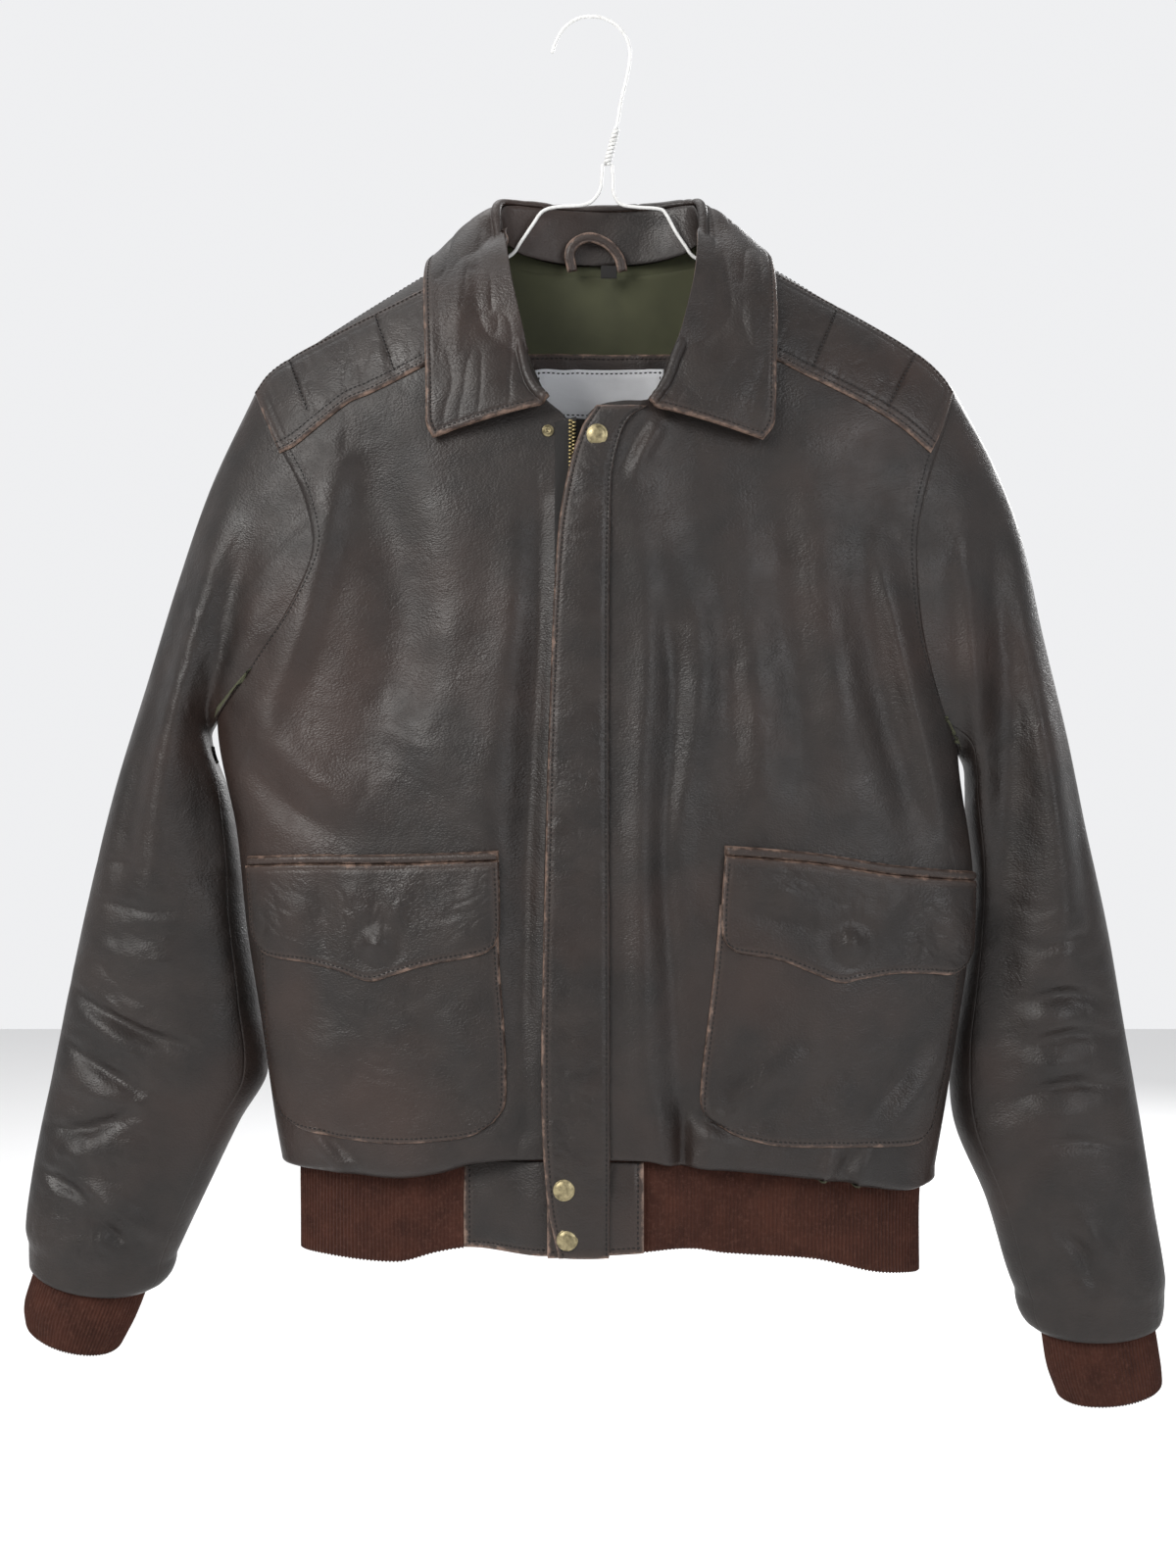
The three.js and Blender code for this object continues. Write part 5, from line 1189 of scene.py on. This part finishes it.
def waist_point(way, down, side=None):
    """way is 0 at the middle front, 1 at a side and 2 at the middle back, negative to the wearer's right.

    side is given for the leather ends alone.
    """
    way, down = np.broadcast_arrays(np.asarray(way, float), np.asarray(down, float))
    sign = np.where(way < 0, -1, 1)
    behind = np.abs(way) > 1
    angle = np.abs(way) * np.pi / 2
    n = 2 / np.where(behind, ROUNDNESS[BACK], ROUNDNESS[FRONT])
    reach = np.where(sign < 0, WAIST_REACH["right"], WAIST_REACH["left"])
    x = WAIST_CENTRE + sign * reach * np.abs(np.sin(angle)) ** n
    towards_middle = 1 - smooth((np.abs(x - 9) - 40) / 45)
    lifted = (way > 0) if side is None else side == "left"
    forward = 43 + (END_FORWARD if side else KNIT_FORWARD) * towards_middle
    forward = forward + np.where(lifted, flap_lift(x), 0)
    depth = np.where(behind, 20, forward) * np.abs(np.cos(angle)) ** n
    low = np.where(behind, waist_low_back(x), waist_low_front(x))
    belly = 3 * np.sin(np.pi * np.minimum(down * 1.1, 1))
    y = -19 + np.where(behind, 1, -1) * (depth + belly * np.abs(np.cos(angle)))
    top = HEM[side](x) + 4 * SEAM if side else WAIST_TOP
    return vec(x, y, mix(top, low, down))


def waist_way(x):
    x = np.asarray(x, float)
    return turn_of(x, WAIST_CENTRE, np.where(x < WAIST_CENTRE, *WAIST_REACH.values()), ROUNDNESS[FRONT])


def make_waist():
    way = np.linspace(waist_way(KNIT_FROM), 4 + waist_way(KNIT_TO) - 0.004, 1500)
    way, down = np.meshgrid(np.where(way > 2, way - 4, way), np.linspace(0, 1, 16))
    points = waist_point(way, down)
    lean = ripple(points, 34, 3)[..., None] * np.sin(np.pi * down)[..., None]
    n = grid_normals(points, False, (0, 1, 0))
    piece = ribbed("waist_knit", points + n * lean * 1.2, n, 2.5, False)
    dress(piece, ["waist_rib"])
    for side, (start, stop) in WAIST_ENDS.items():
        way, down = np.meshgrid(np.linspace(waist_way(start), waist_way(stop), 60), np.linspace(0, 1, 50))
        points = waist_point(way, down, side)
        n = grid_normals(points, False, (0, -1, 0))
        left, right, _, bottom = edge_distances(points)
        d = np.minimum.reduce([left, right, bottom])
        points = points + n * (0.4 * ripple(points, 18, 5) - 0.5 * line_at(d, STITCH_INSET))[..., None]
        piece = cloth(f"waist_end_{side}_leather", points, n, THIN_LEATHER, [EDGE_BROWN], rub_and_highlight=edge_rub_and_highlight(d))
        dress(piece, [f"waist_end_{side}"])
        outer = "left" if side == "right" else "right"
        sew_edges("waist", points, STITCH_INSET, **{"bottom": (3, 3), outer: (1, 3)})


def make_cuffs():
    for side in SIGN:
        turn, share = np.meshgrid(np.linspace(0, 1, 420, endpoint=False), np.linspace(0, 1, 24))
        points = tube_point(CUFF[side](share), turn)
        n = grid_normals(points, True, (SIGN[side], 0, 0))
        if n[12, 0, 0] * SIGN[side] < 0:
            n = -n
        points = points + n * (0.9 * ripple(points, 22, 8) * smooth(share / 0.3))[..., None]
        piece = ribbed(f"cuff_{side}_knit", points, n, 2.4, True)
        dress(piece, [f"cuff_{side}"])


# Pockets and epaulettes

POCKETS = {
    "right": {
        "bag": edges(
            top="-214 563; -60 560",
            bottom="-196 711; -182 718; -158 722; -127 724; -96 722; -75 718; -62 710",
            left="-211 600; -209 645; -207 671; -203 697",
            right="-58 617; -55 656; -54 682; -55 700"),
        "flap": edges(
            top="-219 552; -180 550.5; -140 550.5; -100 549.5; -59 547.5",
            bottom="-210 604; -202 609; -179 612; -158 617; -139 623; -124 619; -104 613; -78 608; -67 605; "
                   "-61 600",
            left="-216.5 577; -215 593",
            right="-58.5 573; -58.5 590"),
        "welt": edges(
            top="-219 546; -180 544.5; -140 544.5; -100 543.5; -59 541.5",
            bottom="-219 552; -180 550.5; -140 550.5; -100 549.5; -59 547.5"),
        "snap": (-134, 600),
        "folds": rows("""
            2 12 0, -200 600, -180 570; -2 8 0, -168 558, -166 610; 1.6 9 0, -150 560, -140 590
            1.6 8 0, -112 558, -126 590; 1.8 10 0, -84 604, -66 560; 1.8 16 0, -190 690, -150 650
            -1.6 10 0, -110 640, -78 690; 1.8 10 0, -96 640, -66 692"""),
        "zones": rows("""
            0.9 5.5 3 80 -134 578 40 18; 0.9 6 3 35 -196 585 22 24; 0.9 6 3 -30 -74 578 20 24
            0.5 9 2.4 20 -130 670 60 40"""),
    },
    "left": {
        "bag": edges(
            top="79 575; 236 590",
            bottom="73 709; 88 718; 109 724; 129 726; 166 727; 194 728; 207 726; 214 717",
            left="77 597; 74 627; 70 658; 67 684; 67 700",
            right="232 629; 226 668; 220 697"),
        "flap": edges(
            top="82 545; 110 547; 140 550; 192 558; 242 562",
            bottom="83 600; 90 605; 114 609; 135 617; 154 624; 166 622; 188 619; 212 619.5; 226 620.5; "
                   "235 615",
            left="80 570; 80 594",
            right="241 587; 240 605"),
        "welt": edges(
            top="82 538.5; 110 540.5; 140 543.5; 192 551.5; 242 556",
            bottom="82 545; 110 547; 140 550; 192 558; 242 562"),
        "snap": (160, 600),
        "folds": rows("""
            1.8 10 0, 92 560, 130 572; -1.8 7 0, 100 582, 140 590; 1.8 8 0, 196 566, 176 590
            2.2 8 0, 222 570, 226 604; 3.2 10 0, 80 706, 106 688, 134 666; -2.4 9 0, 96 712, 150 680
            3 9 0, 226 664, 204 694, 182 720; -2.6 8 0, 212 658, 190 688, 168 714"""),
        "zones": rows("""
            0.9 5 3.2 4 120 562 44 14; 1.2 5.5 3 38 214 600 26 22; 0.9 5.5 3 84 160 580 22 16
            0.6 9 2.4 -40 150 680 60 34; 0.8 6 2.6 -50 90 706 18 16"""),
    },
}

EPAULETTES = {
    "right": edges(
        top="-219 247; -209 233.5; -193 223; -176 214.5; -157 205.5; -131 193.5; -100 179",
        bottom="-200 288.5; -190 284; -171 269; -155 257; -142 252; -121 242; -96 229"),
    "left": edges(
        top="112 169; 145 186; 172 200; 198 214.5; 217 227.5; 227 237.5; 233 246.5",
        bottom="104 227; 118 232; 134 240; 168 256; 194 270.5; 216 288",
        right="224 272"),
}
EPAULETTE_SEAMS = {
    "right": (rows("-196 226; -181 264"), rows("-140 198; -125 240")),
    "left": (rows("157 194; 138 238"), rows("208 222; 186 262")),
}
EPAULETTE_LEAN = {"right": 62, "left": -62}
FLAP_LOW = 3.0


def make_pocket(side):
    cut = POCKETS[side]
    snap_x, snap_drop = cut["snap"]

    def surface(x, drop):
        return front_surface(side, x, drop)

    def creased(x, drop, d):
        height = fold_height(cut["folds"], x, drop) + zone_creases(cut["zones"], x, drop)
        return height * smooth((d - 1) / 7)

    def over_snap(x, drop, d):
        r = np.hypot(x - snap_x, drop - snap_drop)
        return creased(x, drop, d) + 4.2 * line_at(r, 0, 7) - 1.1 * line_at(r, 14, 5)

    inner = STITCH_INSET, STITCH_INSET
    piece, points = laid(f"pocket_{side}_leather", surface, cut["bag"], SEAM, 2.3, (110, 110), extra=creased)
    dress(piece, [f"pocket_{side}"])
    sew_edges("pockets", points, STITCH_INSET, left=(2, STITCH_INSET), bottom=inner, right=(2, STITCH_INSET))
    piece, points = laid(f"pocket_flap_{side}_leather", surface, cut["flap"], FLAP_LOW, 2.2, (150, 70),
                         extra=over_snap)
    dress(piece, [f"pocket_flap_{side}"])
    sew_edges("pockets", points, STITCH_INSET, left=(6, STITCH_INSET), bottom=inner, right=(6, STITCH_INSET))
    piece, _ = laid(f"pocket_welt_{side}_leather", surface, cut["welt"], SEAM, 5.0, (110, 8), groove=None)
    dress(piece, [f"pocket_welt_{side}"])


def make_epaulette(side):
    grooves = [[-0.8, 1.6, 0, *np.ravel(seam)] for seam in EPAULETTE_SEAMS[side]]

    def surface(x, drop):
        return front_surface(side, x, drop)

    def creased(x, drop, d):
        puckers = zone_creases([[0.6, 8, 2.4, EPAULETTE_LEAN[side], x.mean(), drop.mean(), 70, 50]], x, drop)
        return fold_height(grooves, x, drop) + puckers * smooth((d - 1) / 5) - 0.4 * line_at(d, 8)

    piece, points = laid(f"epaulette_{side}_leather", surface, EPAULETTES[side], SEAM, 2.6, (130, 60),
                         extra=creased)
    dress(piece, [f"epaulette_{side}"])
    sew_edges("epaulettes", points, STITCH_INSET, top=(3, 3), bottom=(3, 3))
    sew_edges("epaulettes", points, 8, bottom=(3, 3))
    for start, stop in EPAULETTE_SEAMS[side]:
        x, drop = np.linspace(start[0], stop[0], 12), np.linspace(start[1], stop[1], 12)
        sew("epaulettes", trimmed(surface(x, drop) + normal_of(surface, x, drop) * (SEAM + 2.5), 4, 4))


# Wind flap, zip and snaps

wind_flap_edge = graph("""
    262 2; 268 -2; 276 -7; 300 -14.6; 340 -21.6; 432 -26.6; 590 -30.6; 700 -31.6; 760 -28; 794 -21""")
wind_flap_seam = graph("262 34; 268 24; 280 17; 310 11; 460 9; 650 9.5; 794 9.5")
WIND_FLAP_THICK = 2.2
SNAPS = {"cap_top": (2.5, 281), "cap_waist": (-18, 750), "cap_low": (-16, 781)}
CAP_PROFILE = rows("""
    0.4 0; 6.3 0; 6.7 0.25; 6.75 0.7; 6.6 1.05; 6.2 1.15; 5.9 1.1; 5.4 1.5; 4.6 1.95; 3.4 2.3; 2 2.5
    0.9 2.58""")
STUD_PROFILE = rows("0.4 0; 3.7 0; 3.8 0.4; 3.6 0.8; 2.4 0.9; 2.2 1.7; 1.9 1.95; 1.2 1.9; 0.9 1.2; 0.4 1.1")
TOOTH_ROWS = {-14.2: 271, -12.0: 272.2}


def wind_flap_point(u, drop):
    x = mix(wind_flap_edge(drop), wind_flap_seam(drop), u)
    on_front = front_surface("left", x, np.minimum(drop, 733))[..., 1]
    down = (drop - HEM["left"](x)) / (waist_low_front(x) - HEM["left"](x))
    on_band = waist_point(waist_way(x), down, "left")[..., 1]
    y = mix(on_front, on_band, smooth((drop - 733) / 30))
    return vec(x, y - 0.9 - WIND_FLAP_THICK, drop)


def make_wind_flap():
    u, drop = np.meshgrid(np.linspace(0, 1, 34), np.linspace(262, 793, 380))
    points = wind_flap_point(u, drop)
    n = grid_normals(points, False, (0, -1, 0))
    left, right, top, bottom = edge_distances(points)
    d = np.minimum.reduce([left, top, bottom])
    rise = -GROOVE_DEPTH * line_at(left, STITCH_INSET) - 0.9 * line_at(right, 1.5, 1.4)
    rise += -1.2 * (1 - quarter_round(d, 2.5))
    between = np.clip((left - STITCH_INSET) / (left + right - 5), 0, 1)
    rise += 0.9 * np.sin(np.pi * between) + 0.7 * ripple(points, 26, 14)
    zones = [[0.8, 7, 2.6, 10, -4, middle, 40, 60] for middle in (300, 520, 700)]
    rise += zone_creases(zones, points[..., 0], drop)
    points = points + n * rise[..., None]
    thick = WIND_FLAP_THICK + rise.clip(-1, 0)
    piece = cloth("wind_flap_leather", points, n, thick, [EDGE_BROWN], rub_and_highlight=edge_rub_and_highlight(d))
    dress(piece, ["wind_flap"])
    sew_edges("fronts", points, STITCH_INSET, left=(3, 3))
    sew_edges("fronts", points, 1.5, right=(3, 3))


def make_zip():
    def surface(x, drop):
        return front_surface("right", x, drop)

    outline = edges("-24 272; -10.6 268", "-24 732; -10.4 732")
    piece, _ = laid("zip_cloth", surface, outline, SEAM, 0.7, (8, 160), TAPE, groove=None)
    dress(piece, ["zip_tape"])
    lines = []
    for x, start in TOOTH_ROWS.items():
        drop = np.linspace(start, 728, 200)
        lines.append(surface(x + 0 * drop, drop) + normal_of(surface, x + 0 * drop, drop) * 2.1)
    piece = TEETH.over(lines_object("zip_teeth", lines), Pitch=2.4 * MM, Width=2.6 * MM, Finish=TOOTH)
    dress(piece, ["zip_chain"])


def make_snaps():
    sunk = np.array([0, 0.2, 0])
    for name, (x, drop) in SNAPS.items():
        drop = np.array(float(drop))
        u = (x - wind_flap_edge(drop)) / (wind_flap_seam(drop) - wind_flap_edge(drop))
        piece = turned(f"snap_{name}_brass", CAP_PROFILE, wind_flap_point(u, drop) - sunk, BRASS)
        dress(piece, [f"snap_{name}"])
    at = front_surface("right", np.array(-28.5), np.array(277.0))
    dress(turned("snap_stud_brass", STUD_PROFILE, at - sunk, BRASS), ["snap_stud"])


# Collar

NECK_LINE = curve("""
    -1 -29 -55 257; -0.85 -38 -52 236; -0.7 -48 -43 214; -0.55 -55 -30 188; -0.45 -57.5 -17 166
    -0.36 -56 -4 149; -0.25 -46 5 153; -0.1 -20 13.5 157; 0 8 15.5 158; 0.1 34 13.5 157; 0.25 58 5 153
    0.36 69 -4 149; 0.45 70.5 -17 166; 0.55 66 -32 190; 0.7 56 -48 217; 0.85 46 -57 240; 1 35 -61 260""")
ROLL_LINE = curve("""
    -1 -27 -63 256; -0.93 -35 -59 247; -0.85 -39.8 -55 233; -0.75 -43.7 -49 215; -0.65 -47.6 -42 198
    -0.56 -51.6 -34 180; -0.47 -55 -24 161; -0.39 -58 -14 142; -0.31 -59 -3 124; -0.22 -50 5 120
    -0.1 -24 13 121; 0 8 15 122; 0.1 40 13 121; 0.22 61 5 120; 0.31 67 -3 124; 0.39 68 -14 142
    0.47 67 -24 159; 0.56 64.6 -33 177; 0.65 61 -40 193; 0.75 56 -48 212; 0.85 49 -56 230
    0.93 43 -61 246; 1 34 -66 259""")
LEAF_EDGE = curve("""
    -1 -101 -58 281; -0.93 -105 -58 272; -0.85 -105.5 -57 256; -0.75 -106 -54 236; -0.65 -107 -49 213
    -0.56 -108 -42 194; -0.47 -109 -30 174; -0.39 -108 -14 161; -0.31 -103 6 157; -0.22 -88 25 168
    -0.1 -48 36 184; 0 8 39 190; 0.1 62 36 184; 0.22 98 25 168; 0.31 111 6 153; 0.39 116 -16 159
    0.47 117 -34 174; 0.56 117 -46 195; 0.65 116.5 -51 215; 0.75 115.5 -57 240; 0.85 115 -60 260
    0.93 113.5 -62 274; 1 107 -63 283""")
LEAF_THICK = 2.6
LEAF_ROWS = 70
COLLAR_ROLL = 3.6
COLLAR_WAYS = 420
COLLAR_INSET = 3.6


def placed(line, way):
    return line(way) * np.array([1, 1, -1])


def leaf_grid():
    """The roll and the fall of the collar's leaf, lifted clear of the fronts."""
    way = np.linspace(-1, 1, COLLAR_WAYS)
    roll, edge = placed(ROLL_LINE, way), placed(LEAF_EDGE, way)
    along = unit(placed(ROLL_LINE, np.minimum(way + 0.02, 1)) - placed(ROLL_LINE, np.maximum(way - 0.02, -1)))
    forward = smooth((np.abs(way) - 0.28) / 0.3)[:, None]
    up = np.concatenate([0 * forward, -forward, mix(1, 0.15, forward)], axis=1)
    up = unit(up - along * (up * along).sum(axis=1, keepdims=True))
    out = np.cross(up, along)
    out = np.where(((edge - roll) * out).sum(axis=1, keepdims=True) < 0, -out, out)
    for _ in range(3):
        up[1:-1] = unit(up[:-2] + up[1:-1] * 2 + up[2:])
        out[1:-1] = unit(out[:-2] + out[1:-1] * 2 + out[2:])
    top = roll + up * SEAM
    grid = [top + out * COLLAR_ROLL * (1 - math.cos(a)) + up * COLLAR_ROLL * math.sin(a)
            for a in np.radians(np.linspace(0, 170, 12))]
    start = grid[-1]
    proud = unit(np.cross(unit(edge - start), along))
    proud = np.where((proud * (up + out)).sum(axis=1, keepdims=True) < 0, -proud, proud)
    for t in np.linspace(0, 1, LEAF_ROWS + 1)[1:]:
        belly = 5 * math.sin(math.pi * t**0.8) * (1 - 0.4 * np.abs(way))[:, None]
        grid.append(mix(start, edge, t) + proud * belly)
    points = np.array(grid)
    x, drop = points[..., 0], -points[..., 2]
    clear = LEAF_THICK + mix(1.8, 5.6, smooth((np.abs(x - CENTRE_X) - 80) / 15))
    right, left = (front_surface(side, x, drop)[..., 1] for side in SIGN)
    limit = np.where(x < CENTRE_X, right, left) - clear
    free = (points[..., 1] > 2) | (drop < shoulder_drop(x) + 1)
    points[..., 1] = np.where(free, points[..., 1], np.minimum(points[..., 1], limit))
    return points


def make_collar():
    points = leaf_grid()
    n = grid_normals(points, False, (0, 0.3, 1))
    left, right, _, bottom = edge_distances(points)
    d = np.minimum.reduce([left, right, bottom])
    rise = -0.5 * line_at(d, COLLAR_INSET) + 0.8 * ripple(points, 26, 21) * smooth(d / 6)
    bent = points * np.array([1, 0.4, 0.22]) + 5 * ripple(points, 26, 27)[..., None]
    rise -= 0.7 * (1 - np.abs(ripple(bent, 10, 25))) ** 3 * smooth((d - 2) / 9)
    rise -= 1.1 * (1 - quarter_round(d, 2.5))
    points = points + n * rise[..., None]
    piece = cloth("collar_leaf_leather", points, n, LEAF_THICK, [EDGE_BROWN], rub_and_highlight=edge_rub_and_highlight(d))
    dress(piece, ["collar_leaf"])
    ends = {"bottom": (COLLAR_INSET, COLLAR_INSET), "left": (14, COLLAR_INSET), "right": (14, COLLAR_INSET)}
    sew_edges("collar", points, COLLAR_INSET, **ends)
    way, t = np.meshgrid(np.linspace(-1, 1, 200), np.linspace(0, 1, 16))
    foot, top = placed(NECK_LINE, way), placed(ROLL_LINE, way)
    top = top + unit(foot - top) * 1.5
    points = mix(foot, top, t[..., None])
    n = grid_normals(points, False, (0, -1, 0))
    points = points + n * (0.5 * ripple(points, 20, 23))[..., None]
    piece = cloth("collar_stand_leather", points, n, THIN_LEATHER, [BROWN])
    dress(piece, ["collar_stand"])


# Inside the neck

LOOP_LINE = curve("""
    0 -13.5 163; 0.12 -15.4 152; 0.3 -11.5 144.5; 0.5 -2 141; 0.7 9 145; 0.88 17 154; 1 19.5 163""")
LOOP_HALF_WIDTH = 3
LOOP_Y = 8.4
NECK_LINING = edges(
    top="-60 158; -30 163; 8 165; 42 163; 72 158",
    bottom="-88 330; 104 330",
    left="-82 185; -94 240",
    right="96 185; 110 240")
LABEL_PATCH = edges("-52 216; 60 216", "-52 278; 60 278")
NECK_LABEL = edges("-38 226; 47 226", "-38 258; 47 258")
PLEATS = rows("""
    1.6 5 0, 84 175, 78 215; 1.4 4 0, 66 170, 64 215; -1.2 5 0, 73 170, 70 215
    1.2 6 0, -58 175, -52 215; 0.9 9 0, 20 190, 60 205""")


def make_neck():
    def pleated(x, drop, d):
        return fold_height(PLEATS, x, drop) * 0.5 * smooth(d / 8)

    piece, _ = laid("neck_lining_cloth", back_surface, NECK_LINING, LEATHER + SEAM, 1.0, (90, 70),
                    OLIVE, True, groove=None, extra=pleated)
    dress(piece, ["neck_lining"])
    piece, points = laid("label_patch_leather", back_surface, LABEL_PATCH, LEATHER + 1.6, THIN_LEATHER,
                         (70, 40), BROWN, True, soft=1.5)
    dress(piece, ["label_patch"])
    sew_round("neck", points, 3.2)
    piece, points = laid("neck_label_cloth", back_surface, NECK_LABEL, LEATHER + 3.2, 0.6, (60, 30),
                         WHITE, True, soft=0.8, groove=2.4)
    dress(piece, ["neck_label"])
    sew_round("label", points, 2.4)


def make_loop_and_tab():
    line = LOOP_LINE(np.linspace(0, 1, 70))
    slope = unit(np.gradient(line, axis=0))
    k = np.linspace(-1, 1, 13)[None, :]
    x = line[:, :1] + slope[:, 1:] * LOOP_HALF_WIDTH * k
    drop = line[:, 1:] - slope[:, :1] * LOOP_HALF_WIDTH * k
    crown = 0.7 * (1 - k**2) - 0.5 * line_at(np.abs(k), 0.62, 0.16)
    points = vec(x, LOOP_Y - crown + 0 * x, drop)
    rub_and_highlight = edge_rub_and_highlight(np.minimum(1 - np.abs(k) + 0 * x, 1) * LOOP_HALF_WIDTH)
    normals = grid_normals(points, False, (0, -1, 0))
    piece = cloth("hanging_loop_leather", points, normals, 2.0, [EDGE_BROWN], rub_and_highlight=rub_and_highlight)
    dress(piece, ["hanging_loop"])
    x, drop = np.meshgrid(np.linspace(5.5, 15.5, 16), np.linspace(160, 168, 12))
    curl = 0.5 * ((drop - 160) / 8) ** 2 + 0.15 * np.sin((x - 5.5) * 0.5)
    points = vec(x, LOOP_Y - curl, drop)
    piece = cloth("size_tab_cloth", points, grid_normals(points, False, (0, -1, 0)), 0.8, [TAPE])
    dress(piece, ["size_tab"])


# Wire hanger

WIRE = 1.15
HOOK = """
    -26.5 0 22; -24.5 0 16; -20 0 8; -14.5 0 2.8; -8 0 -0.4; -1 0 -1.15; 5 0 -0.6; 11 0 1.6; 17 0 6; 22 0 13;
    24 0 20; 24 0 28; 21.8 0 40; 18.6 0 53; 16.5 0 65; 15.4 0 72"""
SHOULDER_WIRE = """
    6.4 1 96; 5.6 1 106; 4.2 1 113; -1 1 119.5; -8 1 122; -24 1 123; -33 1 126; -39 1 134; -47 0 146
    -54 0 155; -80 2 168; -120 4 188; -165 3 212; -196 2 234; -202 2 246; -197 2 259; -186 2 266
    -120 2 281; -50 2 288; 9 2 289; 70 2 288; 140 2 281; 200 2 268; 212 2 262; 217 2 250; 210 2 236
    180 3 213; 135 4 188; 93 2 168; 67 0 156.5; 60 0 148; 54 1 139; 48 1 128; 44 1 124.5; 28 1 123
    18 1 121; 13.6 1 114; 13 1 104; 12.6 1 96"""
TWIST = np.array([15.2, 0, -73]), np.array([9.6, 1, -94])
TWIST_RADIUS = 1.45
TWIST_TURNS = 4


def wire_line(text, count):
    p = np.array(rows(text)) * np.array([1, 1, -1])
    t = np.concatenate([[0], np.cumsum(np.sqrt(np.linalg.norm(np.diff(p, axis=0), axis=1)))])
    return curve(np.column_stack([t, p]))(np.linspace(0, t[-1], count))


def make_hanger():
    for name, text, count in (("hanger_hook", HOOK, 120), ("hanger_shoulders", SHOULDER_WIRE, 420)):
        dress(tube(f"{name}_wire", wire_line(text, count), WIRE, WIRE_WHITE), [name])
    t = np.linspace(-0.04, 1.04, 120)
    start, stop = TWIST
    axis = mix(start, stop, t[:, None])
    along = unit(stop - start)
    side = unit(np.cross(along, [0, 1, 0]))
    other = np.cross(along, side)
    radius = TWIST_RADIUS * mix(0.75, 1, smooth(t / 0.2))[:, None]
    for i, name in enumerate(("hanger_twist_wire", "hanger_twist_return_wire")):
        a = (t * TWIST_TURNS * 2 * np.pi + i * np.pi)[:, None]
        line = axis + radius * (np.cos(a) * side + np.sin(a) * other)
        dress(tube(name, line, WIRE, WIRE_WHITE, 10), ["hanger_twist"])


def make_stitches():
    for group, lines in sewn.items():
        dress(STITCHES.over(lines_object(f"stitches_{group}", lines), **STITCH), [])


FLOOR_SIZE = 8
FLOOR_Z = -1.06


def make_floor():
    bpy.ops.mesh.primitive_grid_add(x_subdivisions=2, y_subdivisions=2, size=FLOOR_SIZE, location=(0, 0, 0))
    floor = bpy.context.object
    floor.name = "floor"
    for v in floor.data.vertices:
        v.co.z = FLOOR_Z
    floor.data.materials.append(FLOOR)


make_torso()
make_sleeves()
make_waist()
make_cuffs()
for side in SIGN:
    make_pocket(side)
for side in SIGN:
    make_epaulette(side)
make_wind_flap()
make_zip()
make_snaps()
make_collar()
make_neck()
make_loop_and_tab()
make_hanger()
make_stitches()
make_floor()
